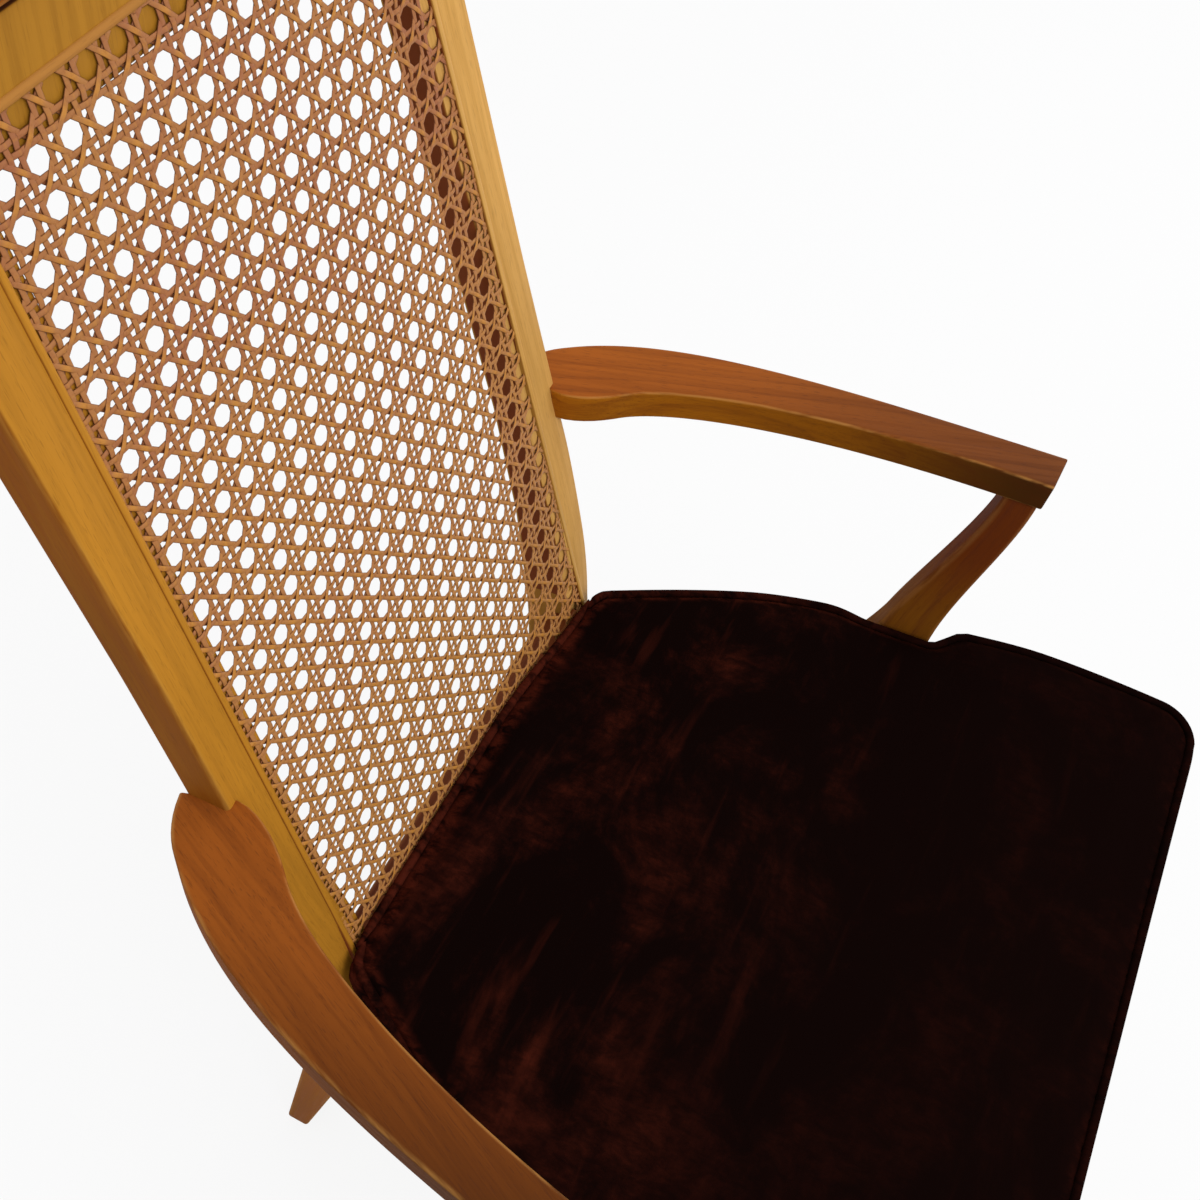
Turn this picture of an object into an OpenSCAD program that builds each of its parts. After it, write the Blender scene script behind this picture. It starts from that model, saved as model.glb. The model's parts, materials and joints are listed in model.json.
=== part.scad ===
// Dining armchair with a raked cane back and an upholstered seat.
// Front faces -Y, +Z is up, the floor is z = 0. All sizes in millimetres.

/* [Seat] */
// Height of the seat where it meets the cane
seat_h = 457; // [420:1:500]
// Depth of the seat from the cane to its front edge
seat_depth = 479; // [455:1:500]
// Width of the seat pad at its rear edge
seat_rear_w = 369; // [364:1:376]
// Width of the seat pad at its front edge
seat_front_w = 635; // [618:1:652]
// How far the sides of the seat bow out beyond a straight line
seat_bow = 29; // [22:1:34]
// Radius of the pad's front corners
seat_corner_r = 37; // [24:1:42]
// Height of the pad's side, from the rails to the welt
pad_h = 52; // [40:1:70]
// How much the pad's middle rises above its welt
pad_crown = 13; // [9:1:24]
// Diameter of the welt cord around the pad
welt_d = 6; // [4:0.5:7]
// Thickness of the plywood seat board
board_t = 12; // [9:1:18]
// How far the seat board stands back under the pad's edge
board_inset = 24; // [20:1:26]
// Gap between the seat board's edge and the pad around it
board_gap = 0.5; // [0.3:0.1:1]

/* [Seat frame] */
// Height of the seat rails
rail_h = 62; // [50:1:75]
// Thickness of the front and back seat rails
rail_t = 26; // [20:1:30]
// Thickness of the bowed side rails
side_rail_t = 24; // [20:1:28]
// How far the rails stand back under the pad's edge
rail_inset = 12; // [10:1:14]
// Leg length of the corner blocks
block_l = 58; // [40:1:70]
// Height of the corner blocks
block_h = 40; // [25:1:48]
// Depth and height of the cleat that carries the back of the seat board
cleat_w = 20; // [16:1:24]

/* [Legs] */
// Width of a front leg at the rails
leg_top_w = 42; // [36:1:50]
// Width of a front leg at the floor
leg_foot_w = 24; // [20:1:34]
// Width of a rear leg at the floor
rear_foot_w = 34; // [26:1:36]
// Depth of a rear leg at the floor
rear_foot_d = 20.5; // [19:0.5:30]
// Backward splay of the rear legs, degrees from upright
leg_splay = 11.5; // [6:0.5:14]
// Diameter of the foot glides
glide_d = 16; // [12:1:18]
// Height of the foot glides
glide_h = 4; // [2:0.5:6]

/* [Back] */
// Rake of the back, degrees from upright
back_rake = 17.7; // [12:0.1:20]
// Length of the back from the seat to the top of its posts
back_len = 594; // [560:1:640]
// Depth of a back post at its top
post_top_d = 27; // [24:1:32]
// Depth of a back post at the seat
post_seat_d = 36; // [32:1:42]
// Radius of the bend in the back posts
post_bend_r = 571; // [540:1:620]
// Height above the seat, along the back, where the bend starts
bend_start = 57; // [40:1:70]
// Distance from the middle to a post's outer side at its top
post_out_top = 184; // [180:1:190]
// The same distance at the swell beside the arm
post_out_arm = 190; // [188:0.5:196]
// The same distance at the seat
post_out_seat = 182; // [178:1:186]
// The same distance at the floor
post_out_foot = 180; // [176:1:186]
// Half width of the cane opening at the top rail
open_top = 142; // [138:0.5:144]
// Half width of the cane opening at the seat
open_seat = 153.5; // [150:0.5:156]
// Height of the top rail
top_rail_h = 49.5; // [46:0.5:60]
// Distance from the top of the posts down to the cane's top spline
top_spline_drop = 29.5; // [26:0.5:38]
// Height of the lower back rail
low_rail_h = 30; // [26:1:32]
// Distance of the lower rail's top below the seat, along the back
low_rail_drop = 8; // [5:1:12]
// Thickness of the top and lower back rails
back_rail_t = 23; // [18:1:24]
// Height of the crest cap in the middle
cap_h = 27; // [18:1:36]
// Height of the crest cap at its ends
cap_end_h = 15; // [10:1:18]
// How far the crest cap stands out in front of the rail
cap_lip = 5; // [2:0.5:8]
// Height of the shadow groove under the crest cap
reveal_h = 3; // [2:0.5:8]

/* [Cane] */
// Thickness of the woven cane sheet
cane_t = 2.1; // [1.5:0.1:3]
// Distance between the openings of the net
cane_pitch = 25.4; // [25:0.1:40]
// Width of an opening of the net
cane_hole = 14.6; // [8:0.2:18]
// Angle at which the sheet lies in the frame
cane_turn = 2; // [0:0.5:4]
// Width of the ledge that the cane lies on
ledge_w = 8.6; // [7:0.1:10]
// Width of the splines that hold the cane
spline_w = 5; // [4:0.5:6]
// Depth of the spline groove
spline_depth = 6; // [4:0.5:8]
// How far the splines stand out of the frame
spline_proud = 0.8; // [0.4:0.1:1.2]

/* [Arms] */
// Height of the arms above the seat
arm_h = 180; // [165:1:200]
// Thickness of the arms
arm_t = 25; // [22:1:30]
// How far an arm's outer front corner stands out beyond the pad
arm_overhang = 5.5; // [0:0.5:10]
// How far an arm reaches in front of the cane at the seat
arm_reach = 282; // [274:1:290]
// Width of an arm at its front end
arm_front_w = 33; // [32:1:38]
// How far an arm's outer side draws in on its way back
arm_outer_in = 28; // [24:1:32]
// How far back the outer side is pulled straight
arm_outer_run = 188; // [180:1:196]
// How far an arm's inner side draws in on its way back
arm_inner_in = 19; // [16:1:22]
// How far back the inner side is pulled straight
arm_inner_run = 170; // [162:1:178]

/* [Arm posts] */
// Width of an arm post
post_w = 24; // [22:1:28]
// Depth of an arm post at the arm
post_arm_d = 25; // [22:1:27]
// Depth of an arm post at the seat
post_pad_d = 40; // [36:1:46]
// How far the foot of an arm post spreads back between the top of the seat and the rails
post_heel = 16; // [8:1:20]
// How far forward an arm post leans between seat and arm
post_rise_fwd = 30; // [24:1:34]
// Turn of the arm posts, so that they follow the side of the seat
post_turn = 7; // [4:1:10]
// How far an arm post is let into the side of the seat
post_lap = 24; // [21:1:26]
// Distance of an arm post's middle in front of the cane at the seat
post_fwd = 238; // [230:1:246]

/* [Joinery] */
// Diameter of the wooden dowels
dowel_d = 8; // [6:1:10]
// Length of the wooden dowels
dowel_l = 36; // [30:1:40]
// Diameter of the wood screws
screw_d = 5; // [4:0.5:6]
// Length of the wood screws
screw_l = 40; // [32:1:45]
// Clearance around dowels and screws
fit_gap = 0.05; // [0.02:0.01:0.1]
// Clearance between the pad and its neighbours
pad_gap = 1.5; // [1:0.5:3]

/* [Hidden] */
$fn = 48;
tiny = 0.01;
cut = 400;                                   // longer than any piece it trims
rake_tan = tan(back_rake);
rail_top = seat_h - pad_h;
rail_bottom = rail_top - rail_h;
board_top = rail_top + board_t;
arm_top = seat_h + arm_h;
arm_bottom = arm_top - arm_t;
pad_rear_half = seat_rear_w / 2;
pad_front_half = seat_front_w / 2;
pad_centre_y = -seat_depth / 2;
arm_front_x = pad_front_half + arm_overhang;
rail_front_y = -seat_depth + rail_inset;
leg_out_x = pad_front_half - rail_inset;

// The back's length coordinate t runs up the cane from the seat.
bend_in = [sin(back_rake) * bend_start, cos(back_rake) * bend_start];
bend_mid = bend_in + post_bend_r * [cos(back_rake), -sin(back_rake)];
bend_out = bend_mid - post_bend_r * [cos(leg_splay), sin(leg_splay)];
foot_drop = bend_out[1] + seat_h - glide_h;
foot_front = [bend_out[0] + foot_drop * tan(leg_splay), glide_h - seat_h];
post_top = [sin(back_rake) * back_len, cos(back_rake) * back_len];
back_y = (back_len + cap_h) * sin(back_rake) + (post_top_d + cap_lip) * cos(back_rake);
shift_y = (seat_depth - back_y) / 2;         // centres the chair's box on y = 0
spline_slope = atan((open_seat - open_top) / back_len);
spline_off = ledge_w + spline_w / 2;         // from the opening's edge to the spline's middle
low_rail_top = -low_rail_drop;
cane_bottom = low_rail_top - low_rail_h / 2;
cane_top = back_len - top_spline_drop;
steps = 16;
arm_joint = [post_out_arm, (arm_top - arm_t / 2 - seat_h) * rake_tan];
front_corner = [leg_out_x - leg_top_w, rail_front_y + leg_top_w];
rear_corner = open_seat - 10;
rail_run = 20;                               // drawn length of a back rail inside a post, then cut
back_rail_y = -7;                            // front face of the rear seat rail
block_z = rail_top - block_h - 6;
arm_post_h = arm_h - arm_t;
dowel_z = [rail_bottom + rail_h * 0.25, rail_bottom + rail_h * 0.75];
welt_z = -welt_d / 2 - 1.2;                  // the welt's middle, from the top of the seat
welt_in = welt_d / 2 + 5.3;                  // the same, in from the pad's outline
welt_press = welt_in - welt_d / 2;            // beside a post the pad stands out to its welt

// The side of the seat is a cubic curve from its rear corner to its front corner
side_from = [pad_rear_half, -14];
side_to = [pad_front_half, -seat_depth + seat_corner_r - 2];
side_step = side_to - side_from;
side_a = side_from + [side_step[0] * 0.5, side_step[1] * 0.239];
side_b = side_from + [side_step[0] * 0.752 + seat_bow, side_step[1] * 0.498];
function side_at(t) = side_from * pow(1 - t, 3) + 3 * side_a * t * pow(1 - t, 2)
    + 3 * side_b * t * t * (1 - t) + side_to * pow(t, 3);
function side_x(y) = lookup(y, [for (i = [40:-1:0]) let (p = side_at(i / 40)) [p[1], p[0]]]);
post_in_x = side_x(-post_fwd) - post_lap;
post_lean_x = arm_front_x - arm_front_w + 0.5 - post_in_x;   // its inner face ends flush with the arm's
post_lean = (post_lean_x - post_rise_fwd * sin(post_turn)) / cos(post_turn);

// Curves
function bez2(a, b, c, n) = [for (i = [0:n]) let (t = i / n)
    a * pow(1 - t, 2) + 2 * b * t * (1 - t) + c * t * t];
function bez3(a, b, c, d, n) = [for (i = [0:n]) let (t = i / n)
    a * pow(1 - t, 3) + 3 * b * t * pow(1 - t, 2) + 3 * c * t * t * (1 - t) + d * pow(t, 3)];
function flip(p) = [for (i = [len(p) - 1:-1:0]) p[i]];
function unit(v) = v / norm(v);
function smooth(t) = let (c = min(max(t, 0), 1)) c * c * (3 - 2 * c);
function inward(p, d) = [for (i = [0:len(p) - 1])
    let (u = unit(p[min(i + 1, len(p) - 1)] - p[max(i - 1, 0)])) p[i] + d * [u[1], -u[0]]];

// Frames: across() extrudes a [y, z] outline along x, facing() an [x, z] outline along y
module across(x0, x1) translate([x0, 0, 0]) rotate([90, 0, 90]) linear_extrude(x1 - x0) children();
module facing(y0, y1) translate([0, y1, 0]) rotate([90, 0, 0]) linear_extrude(y1 - y0) children();
module place() translate([0, shift_y, 0]) children();
module on_seat() translate([0, 0, seat_h]) children();
module on_back() on_seat() rotate([-back_rake, 0, 0]) children();
module pair() { children(); mirror([1, 0, 0]) children(); }
module side(s) if (s > 0) children(); else mirror([1, 0, 0]) children();

// Back posts
function post_front_edge() = concat(
    [post_top],
    [for (i = [0:steps]) let (f = -back_rake + (back_rake + leg_splay) * i / steps)
        bend_mid - post_bend_r * [cos(f), sin(f)]],
    [foot_front]);
function post_depth_at(t) = post_top_d + (post_seat_d - post_top_d) * (1 - smooth(t / (arm_h + arm_t)));
function post_back_edge() = concat(
    [for (i = [0:4]) let (t = back_len + (bend_start - back_len) * i / 4)
        [sin(back_rake), cos(back_rake)] * t + post_depth_at(t) * [cos(back_rake), -sin(back_rake)]],
    [for (i = [1:steps]) let (f = -back_rake + (back_rake + leg_splay) * i / steps)
        bend_mid - (post_bend_r - post_seat_d) * [cos(f), sin(f)]],
    [foot_front + [rear_foot_d, 0]]);
function post_outer_edge() = concat(
    [[post_out_top, post_top[1] + 10]],
    bez2([post_out_top + 3, arm_h * 1.556], [post_out_top + 4.5, arm_h * 1.25],
        [post_out_arm, arm_h + 2], 6),
    bez3([post_out_arm, arm_h - arm_t - 2], [post_out_arm + 3.5, arm_h * 0.611],
        [post_out_seat + 6, arm_h * 0.278], [post_out_seat, -pad_h * 0.385], 10),
    [[post_out_foot, glide_h - seat_h]]);
function post_inner_edge() = [
    [open_top, post_top[1] + 10],
    [open_seat - (open_seat - open_top) * 0.15, arm_h * 0.444],
    [open_seat - 10, -pad_h],
    [open_seat - 10, rail_bottom - seat_h],
    [post_out_foot - rear_foot_w, glide_h - seat_h]];

// A post is its side view crossed with its front view
module post_front_view() on_seat() facing(-cut, cut)
    polygon(concat(post_outer_edge(), flip(post_inner_edge())));
module post_blank() intersection() {
    on_seat() across(0, cut) polygon(concat(post_front_edge(), flip(post_back_edge())));
    post_front_view();
}

module back_post(s) place() side(s) color("#B8802F") difference() {
    post_blank();
    cane_recess();
    spline_grooves();
    crest_reveal();
    back_dowels(fit_gap);
    frame_dowels(fit_gap);
    side_dowels(fit_gap);
    arm_side_dowels(fit_gap);
    arm_side_screws(fit_gap);
    rear_glide(fit_gap);
}
module back_post_left() back_post(-1);
module back_post_right() back_post(1);

// Cane, its ledge and its splines, in the frame of the back
function open_half(t) = open_seat + (open_top - open_seat) * t / back_len;
function cane_outline(grow, ends) = let (a = cane_bottom + ends, b = cane_top - ends) [
    [-open_half(a) - grow, a], [open_half(a) + grow, a],
    [open_half(b) + grow, b], [-open_half(b) - grow, b]];

module cane_recess() on_back() facing(-30, cane_t) polygon(cane_outline(ledge_w, 0));

module spline_profile(proud, gap) translate([-spline_w / 2 - gap, 0])
    translate([0, -proud]) square([spline_w + 2 * gap, spline_depth + proud + gap]);

module spline_round() {
    intersection() {
        translate([0, spline_w / 2 - spline_proud]) circle(spline_w / 2);
        translate([-spline_w / 2, -spline_proud]) square([spline_w, spline_w / 2]);
    }
    translate([-spline_w / 2, spline_w / 2 - spline_proud])
        square([spline_w, spline_depth - spline_w / 2 + spline_proud]);
}

module side_spline(gap = -1) on_back()
    translate([open_half(0) + spline_off, 0, 0]) rotate([0, -spline_slope, 0])
    translate([0, 0, cane_bottom]) linear_extrude(cane_top - cane_bottom)
        if (gap < 0) spline_round(); else spline_profile(spline_proud + 20, gap);

module end_spline(t, gap = -1) let (half = open_half(t) + spline_off + spline_w / 2)
    on_back() translate([-half, 0, t]) rotate([0, 90, 0]) linear_extrude(2 * half)
        if (gap < 0) spline_round(); else spline_profile(spline_proud + 20, gap);

module spline_grooves() {
    pair() side_spline(fit_gap);
    end_spline(cane_top, fit_gap);
    end_spline(cane_bottom, fit_gap);
}

module cane_panel() place() color("#C0763C") on_back() facing(0.2, cane_t) difference() {
    polygon(cane_outline(ledge_w - 0.2, spline_w / 2 + 0.2));
    for (i = [-7:7], j = [0:24]) let (
        raw = [i * cane_pitch, j * cane_pitch + cane_pitch * 0.4],
        x = raw[0] * cos(cane_turn) - raw[1] * sin(cane_turn) + cane_pitch * 0.4,
        t = raw[0] * sin(cane_turn) + raw[1] * cos(cane_turn),
        free = cane_hole / 2 + 2)
        if (abs(x) < open_half(t) - free && t < back_len - top_rail_h - free && t > low_rail_top + free)
            translate([x, t]) rotate(22.5 + cane_turn) circle(cane_hole / 2 / cos(22.5), $fn = 8);
}
module cane_spline_left() place() mirror([1, 0, 0]) color("#B07A2E") side_spline_cut();
module cane_spline_right() place() color("#B07A2E") side_spline_cut();
module side_spline_cut() difference() {
    side_spline();
    end_spline(cane_top, fit_gap);
    end_spline(cane_bottom, fit_gap);
}
module cane_spline_top() place() color("#B07A2E") end_spline(cane_top);
module cane_spline_bottom() place() color("#B07A2E") end_spline(cane_bottom);

// Top rail, crest cap and lower rail
module back_rail(t0, t1, grow) on_back() facing(0, back_rail_t) polygon([
    [-open_half(t0) - grow, t0], [open_half(t0) + grow, t0],
    [open_half(t1) + grow, t1], [-open_half(t1) - grow, t1]]);

module crest_reveal() on_back() translate([-cut, -30, back_len - reveal_h])
    cube([2 * cut, 36, reveal_h + 30]);

module top_rail() place() color("#B8802F") difference() {
    back_rail(back_len - top_rail_h, back_len, rail_run);
    pair() post_front_view();
    cane_recess();
    end_spline(cane_top, fit_gap);
    crest_reveal();
    pair() back_dowels(fit_gap);
}

module crest_cap() place() color("#9A5424") on_back() translate([0, 0, back_len]) intersection() {
    facing(-cap_lip, post_top_d + cap_lip) let (x = post_out_top + cap_lip)
        polygon(concat([[-x, 0], [x, 0]],
            bez2([x, cap_end_h], [0, 2 * cap_h - cap_end_h], [-x, cap_end_h], 16)));
    across(-cut, cut) let (front = -cap_lip, back = post_top_d + cap_lip, r = 9)
        polygon(concat([[back, 0], [front + 3, 0], [front, 3]],
            bez2([front, cap_end_h - r + 3], [front, cap_h], [front + r + 6, cap_h], 5),
            [[back, cap_h]]));
}

module lower_back_rail() place() color("#A06A2A") difference() {
    back_rail(low_rail_top - low_rail_h, low_rail_top, rail_run);
    pair() post_front_view();
    cane_recess();
    end_spline(cane_bottom, fit_gap);
    pair() back_dowels(fit_gap);
}

// Arms: two plan curves, cut to sit around the corner of the post
function arm_outer() = concat(
    bez3([arm_front_x, -arm_reach], [arm_front_x - arm_outer_in, -arm_reach + arm_outer_run],
        arm_joint + [87, -44], arm_joint + [32, 15], 20),
    bez2(arm_joint + [32, 15], arm_joint + [21, 28], arm_joint + [1, 33], 6));
function arm_inner() = concat(
    bez3(arm_joint + [-8, 1], arm_joint + [-9, -10], arm_joint + [-1, -26], arm_joint + [14, -41], 6),
    bez3(arm_joint + [14, -41], arm_joint + [42, -68],
        [arm_front_x - arm_front_w - arm_inner_in, -arm_reach + arm_inner_run],
        [arm_front_x - arm_front_w, -arm_reach + 2], 20));

module arm(s) place() side(s) color("#9A5424") difference() {
    translate([0, 0, arm_bottom]) linear_extrude(arm_t)
        polygon(concat(arm_outer(), [arm_joint + [-8, 33]], arm_inner()));
    post_blank();
    translate([arm_joint[0] - 40, arm_joint[1] + 14, arm_bottom - 1]) cube([40, 60, arm_t + 2]);
    arm_side_dowels(fit_gap);
    arm_side_screws(fit_gap);
    arm_top_dowels(fit_gap);
}
module arm_left() arm(-1);
module arm_right() arm(1);

// Arm posts, drawn in their own turned frame: x from the inner side, y from the middle
function arm_post_back() = let (top = post_arm_d / 2 - post_rise_fwd, foot = post_pad_d / 2)
    concat(bez3([top, arm_post_h], [top, arm_post_h * 0.73], [foot - 11, arm_post_h * 0.32],
        [foot, 0], 14), bez2([foot, 0], [foot + post_heel * 0.3, -pad_h * 0.42],
        [foot + post_heel, -pad_h], 6));
function arm_post_front() = let (top = -post_arm_d / 2 - post_rise_fwd, foot = -post_pad_d / 2)
    bez3([top, arm_post_h], [top, arm_post_h * 0.71], [foot - 2, arm_post_h * 0.32], [foot, 0], 14);
module in_arm_post() translate([post_in_x, -post_fwd, seat_h]) rotate([0, 0, post_turn]) children();

module arm_post_blank(grow = 0) in_arm_post() intersection() {
    across(-20 - grow, post_w + post_lean + 20) polygon(concat(
        [[post_pad_d / 2 + post_heel + grow, rail_bottom - seat_h - grow]], flip(arm_post_back()),
        arm_post_front(), [[-post_pad_d / 2 - grow, rail_bottom - seat_h - grow]]));
    facing(-100, 100) polygon([[-grow, rail_bottom - seat_h - grow], [-grow, 0],
        [post_lean, arm_bottom - seat_h], [post_lean + post_w, arm_bottom - seat_h],
        [post_w, 0], [post_w, rail_bottom - seat_h - grow]]);
}

module arm_post(s) place() side(s) color("#A8641F") difference() {
    arm_post_blank();
    arm_top_dowels(fit_gap);
    post_screw_set(fit_gap);
}
module arm_post_left() arm_post(-1);
module arm_post_right() arm_post(1);

// Seat outline: the pad's right side as a bowed curve, with a bay for the arm post
function side_curve(n) = [for (i = [0:n]) side_at(i / n)];
function post_line(y) = post_in_x - (y + post_fwd) * tan(post_turn) - pad_gap;
function bay(y, d, low) = let (off = y + post_fwd, soft = (off > 0 ? 34 : 30) + d,
    heel = post_heel * (0.55 + 0.45 * min(1, max(0, -low / pad_h))),
    reach = post_pad_d / 2 + (off > 0 ? heel : 0)) smooth((reach + soft - abs(off)) / soft);
function half_outline() = concat(
    [for (i = [0:3]) [pad_rear_half * (0.11 + 0.22 * i) , 0]],
    bez2([pad_rear_half - 20, -2.5], [pad_rear_half - 9, -4], [pad_rear_half - 3, -10], 2),
    [for (i = [0:6]) side_at(0.005 + i * 0.062)],
    [for (i = [0:11]) side_at(0.42 + i * 0.022)],
    [for (i = [0:5]) side_at(0.71 + i * 0.058)],
    [for (i = [1:5]) let (a = 90 * i / 5) [pad_front_half - seat_corner_r * (1 - cos(a)),
        -seat_depth + seat_corner_r - seat_corner_r * sin(a)]],
    [for (i = [0:3]) [(pad_front_half - seat_corner_r) * (0.8 - 0.22 * i), -seat_depth]]);
function seat_outline() = let (h = half_outline()) concat(h, [for (p = flip(h)) [-p[0], p[1]]]);

// A ring of the pad: the outline moved inwards by d, drawn in round the arm posts,
// at height z above the seat. The bay for a post widens down to height low, as the post does
function ring(d, z, low) = let (o = seat_outline(), n = len(o)) [for (i = [0:n - 1])
    let (u = unit(o[(i + 1) % n] - o[(i + n - 1) % n]), p = o[i] + d * [u[1], -u[0]],
        over = max(0, abs(p[0]) - post_line(p[1]) + max(0, d - welt_press)) * bay(p[1], d, low))
    [p[0] - sign(p[0]) * over, min(p[1], z * rake_tan - pad_gap), z]];
function shrunk(k, d, z) = [for (p = ring(d, z, 0))
    [p[0] * k, pad_centre_y + (p[1] - pad_centre_y) * k, z]];

function skin(rings, n) = [for (r = [0:rings - 2], i = [0:n - 1]) let (
    a = r * n + i, b = r * n + (i + 1) % n) each [[a, b, b + n], [a, b + n, a + n]]];

function pad_rings() = let (w = welt_d / 2, zw = welt_z) [
    shrunk(0.5, 22, board_top - seat_h + 0.3),
    ring(board_inset - board_gap, board_top - seat_h + 0.3, -pad_h),
    ring(board_inset - board_gap, rail_top - seat_h + 0.3, -pad_h),
    ring(6, rail_top - seat_h + 0.3, -pad_h),
    ring(2.2, -pad_h * 0.8, -pad_h * 0.8),
    ring(0.8, -pad_h * 0.5, -pad_h * 0.5),
    ring(0, -pad_h * 0.27, -pad_h * 0.27),
    ring(1.2, zw - 1.3 * w, 0),
    ring(welt_in - 1.35 * w, zw - 0.6 * w, 0),
    ring(welt_in + 0.35 * w, zw - 1.45 * w, 0),
    ring(welt_in + 2.25 * w, zw + 1.2 * w, 0),
    ring(welt_in + 5.7 * w, zw + 2.9 * w, 0),
    shrunk(0.78, 25, pad_crown * 0.62),
    shrunk(0.5, 25, pad_crown * 0.9),
    shrunk(0.22, 25, pad_crown)];

module seat_pad() place() color("#2E0F0A") on_seat() {
    rings = pad_rings();
    n = len(rings[0]);
    points = concat([[0, pad_centre_y, board_top - seat_h + 0.3]], [for (r = rings) each r],
        [[0, pad_centre_y, pad_crown]]);
    last = len(points) - 1;
    polyhedron(points, concat(
        [for (i = [0:n - 1]) [0, 1 + (i + 1) % n, 1 + i]],
        [for (f = skin(len(rings), n)) [f[0] + 1, f[1] + 1, f[2] + 1]],
        [for (i = [0:n - 1]) [last, last - n + i, last - n + (i + 1) % n]]), convexity = 6);
}

// The welt: a round cord sewn along the top edge of the pad
module seat_welt() place() color("#1E0A07") on_seat() {
    path = ring(welt_in, welt_z, 0);
    n = len(path);
    sides = 8;
    points = [for (i = [0:n - 1]) let (u = unit(path[(i + 1) % n] - path[(i + n - 1) % n]),
        v = [u[1], -u[0], 0]) for (k = [0:sides - 1]) let (a = 360 * k / sides)
        path[i] + welt_d / 2 * (v * cos(a) + [0, 0, sin(a)])];
    faces = [for (i = [0:n - 1], k = [0:sides - 1]) let (m = (k + 1) % sides,
        a = i * sides, b = (i + 1) % n * sides) each [[a + k, b + k, b + m], [a + k, b + m, a + m]]];
    polyhedron(points, faces, convexity = 6);
}

// The seat board fills the recess under the pad, with its rear corners cut off: it leaves out
// the three points that round the pad's rear corner
function board_half() = let (r = ring(board_inset, 0, -pad_h))
    [for (i = [0:len(half_outline()) - 1]) if (i < 4 || i > 6) [r[i][0], r[i][1]]];
module seat_board() place() color("#C8A46A") difference() {
    translate([0, 0, rail_top]) linear_extrude(board_t)
        polygon(concat(board_half(), [for (p = flip(board_half())) [-p[0], p[1]]]));
    pair() board_screw_set(fit_gap);
}

// The dust cover under the rails, cut out around the front legs
function dust_half() = let (front = rail_front_y + 8, leg_y = rail_front_y + leg_top_w + 4,
    curve = inward(side_curve(20), rail_inset + side_rail_t - 8),
    bowed = [for (p = curve) if (p[1] < -18 && p[1] > leg_y) p])
    concat([[rear_corner - 3, back_rail_y + 16], [rear_corner - 3, -18]], bowed,
        [[bowed[len(bowed) - 1][0], leg_y], [front_corner[0] - 4, leg_y], [front_corner[0] - 4, front]]);
module dust_cover() place() color("#1A1A1C") translate([0, 0, rail_bottom - 0.8]) linear_extrude(0.8)
    polygon(concat(dust_half(), [for (p = flip(dust_half())) [-p[0], p[1]]]));

// Seat rails
module rail_slab() translate([0, 0, rail_bottom]) linear_extrude(rail_h) children();

function rail_curve() = let (c = side_curve(20)) concat([c[0] + 40 * unit(c[0] - c[1])], c);
module side_rail_slab(outside) rail_slab() polygon(concat(inward(rail_curve(), outside),
    flip(inward(rail_curve(), rail_inset + side_rail_t))));

module seat_rail_side(s) place() side(s) color("#A06A2A") difference() {
    side_rail_slab(rail_inset);
    translate([0, rail_front_y + leg_top_w - cut, rail_bottom - 1]) cube([cut, cut, rail_h + 2]);
    post_blank();
    translate([0, back_rail_y, rail_bottom - 1]) cube([cut, cut, rail_h + 2]);
    translate([-cut + rear_corner, -cut, rail_bottom - 1]) cube([cut, cut, rail_h + 2]);
    arm_post_blank();
    side_dowels(fit_gap);
    post_screw_set(fit_gap);
    block_screw_set(fit_gap);
}
module seat_rail_left() seat_rail_side(-1);
module seat_rail_right() seat_rail_side(1);

module seat_rail_front() place() color("#A06A2A") difference() {
    rail_slab() translate([-front_corner[0], rail_front_y]) square([2 * front_corner[0], rail_t]);
    pair() frame_dowels(fit_gap);
    pair() block_screw_set(fit_gap);
}

module seat_rail_back() place() color("#A06A2A") difference() {
    rail_slab() translate([-rear_corner, back_rail_y]) square([2 * rear_corner, rail_t]);
    pair() frame_dowels(fit_gap);
    pair() block_screw_set(fit_gap);
}

module seat_cleat() place() color("#B89060") difference() {
    translate([-rear_corner + block_l + 2, back_rail_y - cleat_w, rail_top - cleat_w])
        cube([2 * (rear_corner - block_l - 2), cleat_w, cleat_w]);
    pair() block_screw_set(fit_gap);
}

// Front legs: plumb outside, tapered inside
module front_leg(s) place() side(s) color("#B8802F") difference() {
    translate([leg_out_x, rail_front_y, 0]) intersection() {
        facing(-1, leg_top_w + 1) polygon([[-leg_top_w, rail_top], [0, rail_top], [0, glide_h],
            [-leg_foot_w, glide_h], [-leg_top_w, rail_bottom]]);
        across(-leg_top_w - 1, 1) polygon([[0, glide_h], [leg_foot_w, glide_h], [leg_top_w, rail_bottom],
            [leg_top_w, rail_top], [0, rail_top]]);
        translate([0, 0, glide_h]) linear_extrude(rail_top - glide_h) {
            translate([-10, 10]) circle(10);
            translate([-leg_top_w, 10]) square([leg_top_w, leg_top_w - 10]);
            translate([-leg_top_w, 0]) square([leg_top_w - 10, leg_top_w]);
        }
    }
    frame_dowels(fit_gap);
    side_dowels(fit_gap);
    front_glide(fit_gap);
}
module front_leg_left() front_leg(-1);
module front_leg_right() front_leg(1);

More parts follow.
